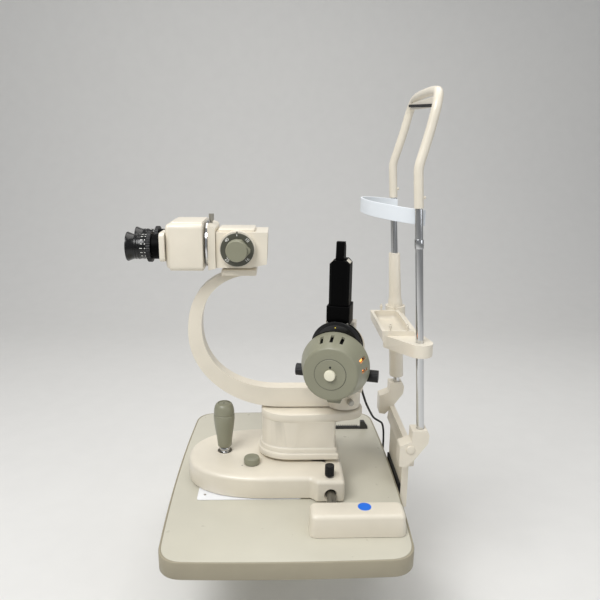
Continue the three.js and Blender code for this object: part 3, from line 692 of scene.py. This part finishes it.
def build_changer():
    body = prism("changer", [(-117, 425), (-62, 425), (-33.5, 431), (-31.7, 484), (-117, 484)], "y", -36, 36)
    lid = pillow("lid", lambda i: rect(-114 + i, -53 - i, -28 + i, 28 - i, 5 - i * 0.6), "z", 483, 489, 0.1, 2.2, seg=4)
    bezel = rod("bezel", 30, "y", -44, 44, DRUM, 96)
    saddle = prism("saddle", [(-106, 420.9), (-60, 420.9), (-56, 426), (-110, 426)], "y", -20, 20)
    fuse(body, lid, bezel, saddle)
    eyes = [rod("path", 11, "x", -125, -30, (0, y, 457), 32) for y in (-13, 13)]
    cut(
        body, rod("bay", 26, "y", -33, 33, DRUM), rod("bore", 6.5, "y", -60, 60, DRUM),
        rod("seat", 21, "x", -43, -30, BORE), *eyes
    )
    dress(body, CREAM, "microscope", "changer_housing", bevel=1.4, angle=40, seg=4)
    keep("magnification_drum", BLACK)
    lens = [(0, -42), (20.4, -41), (20.4, -38), (14, -36), (7, -34.9), (0, -34.5)]
    dress(spin("front_lens", lens, "x", BORE), GLASS, "microscope", "objective_lens")
    for side, label in SIDES:
        flip = Matrix.Translation(Vector(DRUM) * MM) @ Matrix.Scale(side, 4, (0, 1, 0))
        face = spin(
            label + "_dial_face",
            [(0, 44.3), (27, 44.3), (27.4, 44.8), (27.4, 47.4), (26.8, 48), (24, 48.2), (0, 48.2)], "y", steps=96,
        )
        dress(move(face, flip), DARK_OLIVE, "magnification", label + "_magnification_dial")
        grip = arc(0, 0, 18.2, 80, 335, 40)
        grip += rounded([grip[-1], (22, -3), (22, 2), (8, 17.5), grip[0]], 2, closed=False)[1:-1]
        knob = pillow(
            label + "_dial_grip", lambda i, g=grip: [(x * (1 - i / 20), z * (1 - i / 20)) for x, z in g], "y", 48, 59,
            0.2, 1.6, seg=4,
        )
        crown = spin("crown", [(0, 50), (17.4, 50), (17.4, 62.6), (16.4, 64), (0, 64)], "y")
        dress(move(fuse(knob, crown), flip), OLIVE, "magnification", angle=40)
        marks = []
        for k, word in enumerate(("10", "16", "25", "40")):
            font = bpy.data.curves.new("digits", "FONT")
            font.body = word
            font.size = 0.0074
            font.extrude = 0.00008
            font.align_x = font.align_y = "CENTER"
            text = bpy.data.objects.new("digits", font)
            scene.collection.objects.link(text)
            graph = bpy.context.evaluated_depsgraph_get()
            mesh = bpy.data.meshes.new_from_object(text.evaluated_get(graph))
            bpy.data.objects.remove(text)
            a = math.radians(45 + 90 * k)
            stand = Matrix.Rotation(math.radians(90), 4, "X")
            mark = link("digit", mesh)
            move(
                mark,
                Matrix.Translation((23.2 * MM * math.sin(a), 0, 23.2 * MM * math.cos(a))) @ Matrix.Rotation(
                    a if k in (0, 3) else a + math.pi, 4, "Y",
                ) @ stand,
            )
            marks.append(mark)
        marks.append(cuboid("index", -0.5, 0.5, -0.08, 0.08, 22.6, 26))
        turn = Matrix.Translation((DRUM[0] * MM, side * 48.3 * MM, DRUM[2] * MM))
        if side > 0:
            turn = turn @ Matrix.Rotation(math.pi, 4, "Z")
        dress(move(joined(label + "_dial_marks", marks), turn), MARK, "magnification")
        dress(
            rod(
                label + "_bezel_index", 1.1, "y", side * 44.2 - 0.3, side * 44.2 + 0.3, (DRUM[0], 0, DRUM[2] + 28.6),
                16,
            ),
            MARK_BLACK, "microscope",
        )


def build_head():
    side = [(-130, 421.5), (-117.5, 424), (-117.5, 490), (-121, 493.5), (-130, 496.5)]
    collar = prism("collar", side, "y", -39.5, 39.5)
    paths = [rod("path", 11, "x", -140, -110, (0, y, SIGHT_Z), 32) for y in (-13, 13)]
    cut(collar, rod("tap", 2.4, "z", 480, 520, (-127, 0, 0)), *paths)
    dress(collar, CREAM, "microscope", "head_collar", bevel=2.0, angle=40, seg=4)
    ring = [(26, -134.7), (38.6, -134.7), (39.5, -134), (39.5, -131), (38.6, -130.3), (26, -130.3)]
    dress(spin("joint_ring", ring, "x", SIGHT, 120), CHROME, "microscope", "chrome_ring")
    knurl = prism("knurl", ridged(-127, 0, 4.4, 16, 0.45), "z", 500, 511)
    stem = spin("stem", [(0, 484), (2, 484), (2, 497.6), (3.2, 498), (3.2, 500.5), (0, 500.5)], "z", (-127, 0, 0))
    dress(fuse(knurl, stem), ZINC, "head_screw", "head_clamp_screw", bevel=0.3)
    main = pillow(
        "head", lambda i: rect(-50.5 + i, 50.5 - i, 421.6 + i, 499 - i, 9, seg=8), "x", -192, -137, 2.5, 1.2, seg=4,
    )
    hump = pillow("hump", lambda i: rect(-38 + i, 38 - i, 480 + i, 501 - i, 2.5, seg=5), "x", -189, -138, 2, 0.6, seg=4)
    back = pillow(
        "back", lambda i: rect(-50.2 + i, 50.2 - i, 425 + i, 498 - i, 9, seg=8), "x", -197, -188, 5, 0.2, seg=6,
    )
    fuse(main, hump, back, rod("boss", 25.5, "x", -138, -131, SIGHT, 72))
    exits = [rod("exit", 15, "x", -200, -180, (0, s * EYE_Y, SIGHT_Z)) for s in (-1, 1)]
    cut(main, cuboid("room", -182, -143, -44, 44, 432, 490), rod("inlet", 20, "x", -150, -125, SIGHT), *exits)
    dress(main, CREAM, "microscope", "binocular_head", bevel=0.6, angle=40)
    for side, label in SIDES:
        y = side * EYE_Y
        low = -57 if side < 0 else 6.5
        plate = pillow(
            label + "_plate", lambda i, a=low: rect(a + i, a + 50.5 - i, 438 + i, 485 - i, 8), "x", -206, -197.4, 1.2,
            0.3, seg=3,
        )
        neck = rod("neck", 19.5, "x", -220, -205, (0, y, SIGHT_Z), 72)
        cut(fuse(plate, neck), rod("exit", 14, "x", -230, -190, (0, y, SIGHT_Z)))
        dress(plate, CREAM, label + "_tube", label + "_eyepiece_tube", bevel=0.4)
        shroud = [(14.2, -220.2), (19.9, -220.2), (20.4, -219.6), (20.4, -207), (19.7, -206.3), (14.2, -206.3)]
        dress(spin(label + "_neck_ring", shroud, "x", (0, y, SIGHT_Z)), BLACK, label + "_tube")
        cup = [
            (0, -222), (21, -222), (21, -228), (20.3, -229), (20.3, -240), (20.9, -240.6), (20.9, -242.6),
            (20.3, -243.2),
        ]
        cup += [
            (20.1, -245), (20.7, -245.6), (20.7, -247.6), (20.2, -248.2), (20.8, -252), (22.4, -256), (24, -259.6),
            (23.8, -260.8),
        ]
        cup += [(23, -261), (21.4, -260), (18.4, -252.5), (17.2, -246.5), (16.8, -245.5), (0, -245.2)]
        dress(
            spin(label + "_eyecup", cup, "x", (0, y, SIGHT_Z), 96), EYECUP, label + "_eye", label + "_eyepiece",
            angle=40,
        )
        grip = prism(label + "_dioptre_ring", ridged(y, SIGHT_Z, 25.4, 40, 0.9), "x", -227, -220.5)
        dress(grip, BLACK_PLASTIC, label + "_eye", bevel=0.4)
        dress(
            spin(
                label + "_eye_lens", [(0, -245.3), (14.5, -245.3), (14.5, -246.4), (8, -247.6), (0, -248)], "x",
                (0, y, SIGHT_Z),
            ),
            GLASS, label + "_eye",
        )
        ticks = []
        for k in range(11):
            a = math.radians(-100 + 20 * k)
            tick = cuboid("tick", -0.5, 0.5, -0.1, 0.1, -1.6 if k % 5 else -2.6, 1.6)
            spot = Matrix.Rotation(a, 4, "X") @ Matrix.Translation((0, -20.35 * MM, 0)) @ Matrix.Rotation(
                math.pi / 2, 4, "Y",
            )
            ticks.append(move(tick, spot))
            dot = rod("dot", 0.9, "y", -0.1, 0.1, steps=12)
            ticks.append(move(dot, Matrix.Translation((5.4 * MM, 0, 0)) @ spot))
        move(marks := joined(label + "_dioptre_marks", ticks), Matrix.Translation((-0.235, y * MM, 0.460)))
        dress(marks, MARK, label + "_eye")


# ---------- illumination ----------
UNIT = Matrix.Translation((0.105, 0, 0)) @ Matrix.Rotation(math.radians(-105.5), 4, "Z")
LAMP_Z = 275
VENTS = (-22.5, -3.5, 15.5, 66, 86)  # degrees round the lamp from its top
BACK_VENTS = (160, 180, 200)


def arch(half, low, centre_z, n=40):
    """An upright outline with a half-round top."""
    return [(-half, low), (half, low), *arc(0, centre_z, half, 0, 180, n)]


def build_illumination():
    def unit(ob, material, body, nodes=(), **options):
        return dress(move(ob, UNIT), material, body, nodes, **options)

    hub = rod("lamp_arm", 30, "z", 203.2, 238, steps=96)
    web = prism("web", rect(12, 45, -24, 24, 5), "z", 206, 300)
    slab = prism("slab", arch(40, 216, 291), "x", 40, 60)
    seat = prism("seat", rect(40, 60, -25, 25, 2), "z", 300, 339.4)
    lobe = rod("lobe", 8, "z", 217.4, 231, (-32.2, 26.4, 0))
    neck = move(cuboid("neck", 20, 41.6, -7.5, 7.5, 217.4, 231), Matrix.Rotation(math.radians(140.7), 4, "Z"))
    fuse(hub, web, slab, seat, neck, lobe)
    cut(hub, rod("pin", 10.4, "z", 190, 245), rod("rod", 5, "y", -80, 80, (78, 0, 255)))
    unit(hub, CREAM, "illumination", "illumination_arm", bevel=1.5, angle=40, seg=3)
    ring = prism("slit_box", arch(40, 238, 299), "x", 60.4, 92)
    fuse(ring, rod("guard_back", 40, "x", 89, 92.4, (0, 0, SLIT_Z), 96))
    bay = rod("bay", 31, "x", 66, 95, (0, 0, LAMP_Z))
    cut(ring, bay, rod("chimney", 11, "z", 280, 345, (74, 0, 0)), rod("rod", 4.4, "y", -60, 60, (78, 0, 255)))
    unit(ring, BLACK, "illumination", "slit_housing", bevel=1.0, angle=40)
    lip = [
        (0, 92.4), (40.6, 92.4), (41.5, 92.8), (41.5, 94), (41, 94.6), (36.5, 94.9), (36, 94.4), (33, 94.2), (0, 94.2),
    ]
    guard = spin("slit_ring", lip, "x", (0, 0, SLIT_Z), 120)
    cut(guard, rod("bay", 31, "x", 66, 96, (0, 0, LAMP_Z)))
    unit(guard, GLOSS_BLACK, "illumination", angle=40)
    for side, label in ((1, "right"), (-1, "left")):
        flip = Matrix.Translation((0.078, 0, 0.255)) @ Matrix.Scale(side, 4, (0, 1, 0))
        knob = prism(label + "_knob", ridged(0, 0, 10.2, 26, 0.4), "y", 47.6, 69 if side > 0 else 70)
        if side > 0:
            fuse(knob, rod("rod", 4, "y", -46.6, 48))
        else:
            fuse(knob, rod("stub", 4.1, "y", 47.2, 48))
        move(knob, flip)
        unit(knob, BLACK_PLASTIC, "slit_control", label + "_slit_knob", bevel=0.6)


def round_lamp(angle):
    """From the top of the lamp's axis to a place round it, in degrees."""
    return Matrix.Translation((0, 0, LAMP_Z * MM)) @ Matrix.Rotation(math.radians(-angle), 4, "X")


def build_lamp():
    centre = (0, 0, LAMP_Z)
    outside = [
        (25.5, 142), (40.5, 142), (42.4, 141.5), (43.9, 140.2), (45, 137), (56.5, 99.5), (57, 97), (56.6, 95.5),
        (54, 95.5),
    ]
    outside += [(53.6, 97), (42.2, 136.6), (25.5, 139)]
    shell = spin("lamp_shell", outside, "x", centre, 120)
    slots = []
    for angle in (*VENTS, *BACK_VENTS):
        slot = prism("slot", rect(107, 126, -2.7, 2.7, 0.8, seg=3), "z", 30, 62)
        slots.append(move(slot, round_lamp(angle)))
    lug = prism("lug", rounded([(-10.5, 210.6), (10.5, 210.6), (15, 222), (-15, 222)], 3), "x", 95.6, 102)
    cut(fuse(shell, lug), *slots)
    dress(move(shell, UNIT), OLIVE, "lamp", "lamp_housing", bevel=0.5, angle=40)
    # A near-black sheet inside the housing: painted shade seen through the vent slots that do not glow.
    shade_liner = spin("lamp_liner", [(47.6, 97.5), (48.6, 97.5), (39.4, 133), (38.4, 133)], "x", centre, 96)
    dress(move(shade_liner, UNIT), SHADE_FILL, "lamp")
    glow = []
    for angle in VENTS[-2:]:
        strip = prism("glow", [(106.5, 47), (126.5, 41.8), (126.5, 42.6), (106.5, 47.8)], "y", -3.2, 3.2)
        glow.append(move(strip, round_lamp(angle)))
    dress(move(joined("lamp_slot_light", glow), UNIT), AMBER, "lamp")
    cap = [(0, 122), (8, 122), (9, 135), (9, 138.8), (24.2, 138.8), (25, 139.5), (25, 142.6), (24.4, 143.2), (0, 143.2)]
    dress(move(spin("bayonet_cap", cap, "x", centre, 96), UNIT), OLIVE, "cap", "lamp_cap", angle=40)
    # A dark olive ring round the cap: painted shade where the groove at the cap's rim looks dark.
    groove_shade = [(25.1, 141.4), (25.8, 141.4), (25.8, 142.1), (25.1, 142.1)]
    dress(move(spin("cap_groove", groove_shade, "x", centre, 96), UNIT), DARK_OLIVE, "lamp")
    button = [(0, 143.3), (8.6, 143.3), (9, 143.8), (9, 146.6), (8.2, 148.4), (6.4, 149), (0, 149)]
    dress(move(spin("cap_button", button, "x", centre), UNIT), CREAM_BUTTON, "cap", "lamp_cap_button", angle=40)
    dress(move(rod("cap_dot", 1.9, "x", 143.1, 143.35, (0, 0, LAMP_Z + 12.5), 24), UNIT), MARK_BLACK, "cap")
    keep("lamp_bulb", GLASS)
    dress(move(rod("ring_dot", 1.1, "x", 94.0, 94.6, (0, -2, 338), 16), UNIT), MARK_YELLOW, "illumination")


def build_tower():
    light = rod("light", 11, "z", 330, 445, (74, 0, 0))
    foot = pillow("tower_foot", lambda i: rect(44 + i, 87 - i, -19 + i, 19 - i, 3), "z", 339.9, 371.4, 0.3, 0.9, seg=3)
    dress(move(cut(foot, light), UNIT), BLACK, "illumination", "tower_base", bevel=0.3, angle=40)
    plan = [(47, -12), (51, -16.5), (80, -16.5), (84.5, -12), (84.5, 12), (80, 16.5), (51, 16.5), (47, 12)]
    mast = prism("tower_mast", plan, "z", 371.8, 446)
    for s in (-1, 1):
        cut(mast, prism("roof", [(s * 8, 447), (s * 18, 438.5), (s * 18, 447)], "x", 40, 90))
    dress(
        move(cut(mast, rod("light", 9, "z", 360, 450, (70, 0, 0))), UNIT), BLACK, "illumination", "tower_column",
        bevel=0.5, angle=25,
    )
    for s in (-1, 1):
        flap = prism(
            "roof_plate", [(s * 10.6, 445.4), (s * 16, 440.8), (s * 16, 441.5), (s * 10.6, 446.1)], "x", 58, 76,
        )
        dress(move(flap, UNIT), CREAM, "illumination")
        screw(
            f"tower_screw_{s}", UNIT @ Vector((0.0872, s * 0.0165, 0.3435)) / MM, UNIT.to_3x3() @ Vector((1, 0, 0)),
            "illumination", r=1.7, head=0.8,
        )
    keep("condenser_lens", GLASS)
    plate = [(60.4, 446.4), (80, 446.4), (80, 450), (76, 475), (66, 475), (60.4, 466)]
    holder = prism("prism_mount", plate, "y", -6.8, 6.8)
    notch = prism("notch", [(55, 452), (66, 452), (66, 468), (55, 462)], "y", -5, 5)
    dress(
        move(cut(holder, notch, rod("pupil", 5, "z", 440, 458, (69, 0, 0))), UNIT), BLACK, "illumination",
        "prism_holder", bevel=0.5,
    )
    keep("prism", GLASS)


# ---------- headrest ----------
LEAN, FOOT_X, FOOT_Z, POST_Y = -0.065, 223, 165, 105


def post_x(z):
    return FOOT_X + LEAN * (z - FOOT_Z)


def leaning(ob, y, low):
    shear = Matrix(((1, 0, LEAN, post_x(low) * MM), (0, 1, 0, y * MM), (0, 0, 1, low * MM), (0, 0, 0, 1)))
    return move(ob, shear)


def build_headrest():
    profile = rounded(
        [
            (188, 104), (200, 102), (215, 118), (235, 146), (236, 160), (233, 168), (207.5, 168), (207.5, 149),
            (188, 141),
        ],
        [3, 4, 6, 5, 3, 2, 2, 3, 3], seg=4,
    )
    foot = prism("yoke", rect(206, 218, -10, 95, 1.5), "y", -60, 60)
    bar = prism("bar", [(206, 92), (218, 92), (219, 120), (209, 120)], "y", -96, 96)
    arms = [prism("arm", profile, "y", s * POST_Y - 13, s * POST_Y + 13) for s in (-1, 1)]
    fuse(foot, bar, *arms)
    cut(foot, *[leaning(rod("socket", 6.7, "z", -0.3, 60), s * POST_Y, 150) for s in (-1, 1)])
    dress(foot, CREAM, "table", "headrest_yoke", bevel=1.6, angle=35, seg=4)
    for s, label in SIDES:
        y = s * (POST_Y + 13)
        boss = [(0, 0), (7.4, 0), (7.4, 2.6), (6.6, 3.4), (4, 3.8), (0, 4)]
        cap = move(spin(label + "_boss", boss, "y", steps=64), Matrix.Scale(s, 4, (0, 1, 0)))
        dress(move(cap, Matrix.Translation((0.2057, (y - s * 1.4) * MM, 0.1345))), CREAM_PLASTIC, "table", angle=30)
    # A black rubber pad between the yoke and the table's edge, as real yokes have; it also stands in for the shade in
    # that gap, so it is partly painted shade.
    pad = cuboid("pad", 202.2, 205.7, -58, 58, -4, 36)
    dress(cut(pad, prism("edge", table_outline(-0.4), "z", -5, 50)), RUBBER, "table", "yoke_pad", bevel=0.6)
    for s, label in SIDES:
        stem = [(0, 0), (6.3, 0), (6.3, 380.8), (4.6, 381.1), (4.6, 415), (0, 415)]
        dress(leaning(spin(label + "_stem", stem, "z", steps=64), s * POST_Y, 150), CHROME, "table", label + "_post")
    y = POST_Y
    leg = [(post_x(532), y, 532), (post_x(575), y, 575), (195.8, y, 592), (203, 103, 619), (212, 100, 652)]
    leg += [(219.5, 96, 684), (223.5, 84, 700.5), (224.5, 62, 705.5)]
    hoop = tube("frame_hoop", catmull([(x, -y, z) for x, y, z in leg] + leg[::-1], 180), 7.35, 32)
    cut(hoop, *[leaning(rod("socket", 4.9, "z", -10, 36), s * POST_Y, 532) for s in (-1, 1)])
    dress(hoop, CREAM, "table", "headrest_frame", bevel=0.4, angle=50)
    plate = [(-86, 680), (86, 686), (81, 691), (74, 697), (-74, 696), (-81, 689)]
    dress(prism("cross_plate", plate, "x", 217.5, 220.5), CREAM, "table", "frame_cross_plate", bevel=0.6)
    strip = prism("cross_strip", rounded([(-83, 680.6), (83, 690.4), (83, 695), (-83, 685.2)], 0.8), "x", 214, 217.3)
    dress(strip, RUBBER, "table", bevel=0.4)
    for s, label in SIDES:
        grub = [(0, 0), (2.4, 0), (2.4, 3.4), (1.8, 4.2), (0, 4.2)]
        place = Matrix.Translation(((post_x(548) + 6.4) * MM, s * POST_Y * MM, 0.548))
        dress(move(spin(label + "_set_screw", grub, "x", steps=24), place), CREAM_PLASTIC, "table")
    collar = [(6.4, 0), (7.2, 0.4), (7.4, 1.5), (7.4, 13), (7.2, 14.2), (6.4, 14.6)]
    dress(leaning(spin("near_collar", collar, "z"), -POST_Y, 470), CHROME, "table")
    build_band()


def build_band():
    outer = [(212, -98.2), (193, -98.2)]
    outer += bezier((193, -98.2), (152, -86), (125, -50), (125, 0), 24)
    outer += bezier((125, 0), (125, 50), (152, 86), (193, 98.2), 24)
    inner = [(206, 98.2), (206, 95.2), (194, 95.2)]
    inner += bezier((194, 95.2), (155, 83), (128, 48), (128, 0), 24)
    inner += bezier((128, 0), (128, -48), (155, -83), (194, -95.2), 24)
    band = prism("brow_band", [*outer, *inner, (212, -95.2)], "z", 0, 24)
    move(band, Matrix(((1, 0, 0, 0), (0, 1, 0, 0), (-0.12, 0, 1, 0.530), (0, 0, 0, 1))))
    dress(band, BAND_WHITE, "table", "forehead_band", bevel=0.9, angle=40, seg=4)


def build_chin_rest():
    trough = prism(
        "chin_tray",
        rounded([(158, 326), (159.5, 308), (167, 296), (186, 291), (211, 291), (212, 326)], [1, 9, 9, 6, 2, 1], seg=5),
        "y", -70, 66,
    )
    bridge = prism("bridge", rect(196, 225, -60, 100, 3), "z", 291, 313.8)
    plan = [(162, -60), (162.5, -68), *arc(214.5, -105, 20, 216, 380, 24), (226, -60)]
    horn = prism("horn", plan, "z", 297, 318)
    far_ring = leaning(rod("far_ring", 19, "z", 0, 34, steps=72), POST_Y, 291)
    fuse(trough, bridge, horn, far_ring)
    cup = pillow("cup", lambda i: rect(163 + i, 207 - i, -65 + i, 61 - i, 13), "z", 311, 345, 7, 0.1, seg=5)
    cut(
        trough,
        cup,
        leaning(rod("bore", 6.7, "z", 0, 80), -POST_Y, 270),
        leaning(rod("bore", 14.1, "z", 0, 80, steps=64), POST_Y, 270),
    )
    dress(trough, CREAM, "chin", "chin_rest", bevel=1.3, angle=40, seg=3)
    sleeve = [
        (6.8, 0), (12.8, 0), (13.6, 1), (13.7, 152), (13, 156), (12, 160), (11.5, 170), (10.6, 246.6), (9.6, 248),
        (6.8, 248),
    ]
    dress(leaning(spin("turning_sleeve", sleeve, "z"), POST_Y, 180), CREAM, "sleeve", "height_sleeve", angle=40)
    pin = [(0, 325), (1.5, 325), (1.5, 330), (2.6, 330.6), (2.6, 335), (1.6, 335.4), (1.6, 338), (0, 338.6)]
    for k, (x, y) in enumerate([(200, -67.5), (172, -67.5), (178, 63.5), (204, 63.5)]):
        dress(spin(f"paper_pin_{k}", pin, "z", (x, y, 0), 24), CREAM_PLASTIC, "chin", angle=40)


# ---------- lamp lead ----------
LEAD = [
    (139, 24, 203), (139, 24.4, 195), (141.5, 29, 185), (147.5, 50, 165), (154, 70, 146), (160.8, 90, 126.7),
    (168.5, 110, 108), (176.2, 130, 89.9), (191.3, 165, 59), (205, 185, 42.5), (214.6, 197, 31), (220, 205, 12),
    (222, 209, -12), (222, 210, -45), (222, 210, -80), (222, 210, -120),
]  # fmt: skip


def build_lead():
    line = catmull(LEAD, 150)
    lead = tube("lead", line, 2.2, 20)
    lead.data.materials.append(RUBBER)
    lead.data.shade_smooth()
    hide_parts("lamp_lead")
    plug = [(0, -182), (5.6, -182), (6, -181.6), (6, -162), (5.2, -161), (8.1, -160), (8.5, -159), (8.5, -137)]
    plug += [
        (7.6, -134), (6.4, -133), (6.4, -131), (5.4, -130.4), (5.4, -128.6), (4.8, -128), (4.8, -126), (4.1, -125.4),
        (4.1, -120.2), (0, -120.2),
    ]
    plug = dress(spin("plug", plug, "z", (222, 210, 0), 48), BLACK_PLASTIC, "column", "lead_plug", angle=40)
    gland = [
        (0, 203.3), (3.4, 203.3), (3.6, 206), (3.3, 206.4), (3.8, 209), (3.5, 209.4), (4.1, 212), (3.8, 212.4),
        (4.6, 215.6), (4.6, 217), (0, 217),
    ]
    dress(spin("gland", gland, "z", (139, 24, 0), 40), RUBBER, "illumination", "lead_gland", angle=40)
    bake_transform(lead)


# ---------- camera, stage and light ----------
def build_camera():
    data = bpy.data.cameras.new("camera")
    data.lens, data.sensor_width = 36, 36
    data.clip_start, data.clip_end = 0.05, 50
    cam = bpy.data.objects.new("camera", data)
    scene.collection.objects.link(cam)
    right = Vector((0.99941, -0.03295, 0.01019))
    up = Vector((-0.00182, 0.24468, 0.96960))
    ahead = Vector((0.03444, 0.96904, -0.24448))
    place = Vector((-0.0126, -1.017, 0.618))
    cam.matrix_world = Matrix([(right[i], up[i], -ahead[i], place[i]) for i in range(3)] + [(0, 0, 0, 1)])
    scene.camera = cam


def area(name, place, aim, size, power, colour=(1, 1, 1)):
    data = bpy.data.lights.new(name, "AREA")
    data.shape, data.size, data.size_y = "RECTANGLE", *size
    data.energy, data.color = power, colour
    ob = bpy.data.objects.new(name, data)
    scene.collection.objects.link(ob)
    ob.location = place
    ob.rotation_mode = "QUATERNION"
    ob.rotation_quaternion = (Vector(aim) - Vector(place)).to_track_quat("-Z", "Y")


def build_stage():
    """A pale floor that sweeps up into a back wall, and soft lights."""
    floor_mat = surface("floor", (226, 225, 222), 0.7, mottle=0.01, crease_dark=0)
    line = [(-6, 0), (1.6, 0)]
    line += [(1.6 + 1.2 * math.sin(a), 1.2 * (1 - math.cos(a))) for a in [math.radians(9 * k) for k in range(1, 11)]]
    line.append((2.8, 6))
    mesh = bpy.data.meshes.new("sweep")
    verts = [(x, y, FLOOR_Z + z) for y, z in line for x in (-8, 8)]
    faces = [(2 * i, 2 * i + 1, 2 * i + 3, 2 * i + 2) for i in range(len(line) - 1)]
    mesh.from_pydata(verts, [], faces)
    mesh.materials.append(floor_mat)
    mesh.shade_smooth()
    link("sweep", mesh)
    world = bpy.data.worlds.new("world")
    world.use_nodes = True
    sky = world.node_tree.nodes["Background"]
    sky.inputs["Color"].default_value = (0.94, 0.96, 1.0, 1)
    sky.inputs["Strength"].default_value = 0.3
    scene.world = world
    area("key", (-0.9, -1.2, 2.1), (0, 0, 0.25), (1.4, 1.0), 46)
    area("top", (0.3, 0.5, 2.4), (0, 0, 0.2), (2.2, 1.6), 26, (1, 0.98, 0.95))
    area("fill", (1.9, -1.4, 1.1), (0, 0, 0.3), (1.2, 1.6), 10, (0.93, 0.96, 1))
    scene.view_settings.view_transform = "Standard"


for build in (
    build_camera, build_lead, build_table, build_rails, build_carriage, build_joystick, build_column, build_arm,
    build_changer, build_head, build_illumination, build_lamp, build_tower, build_headrest, build_chin_rest,
    build_stage,
):
    build()
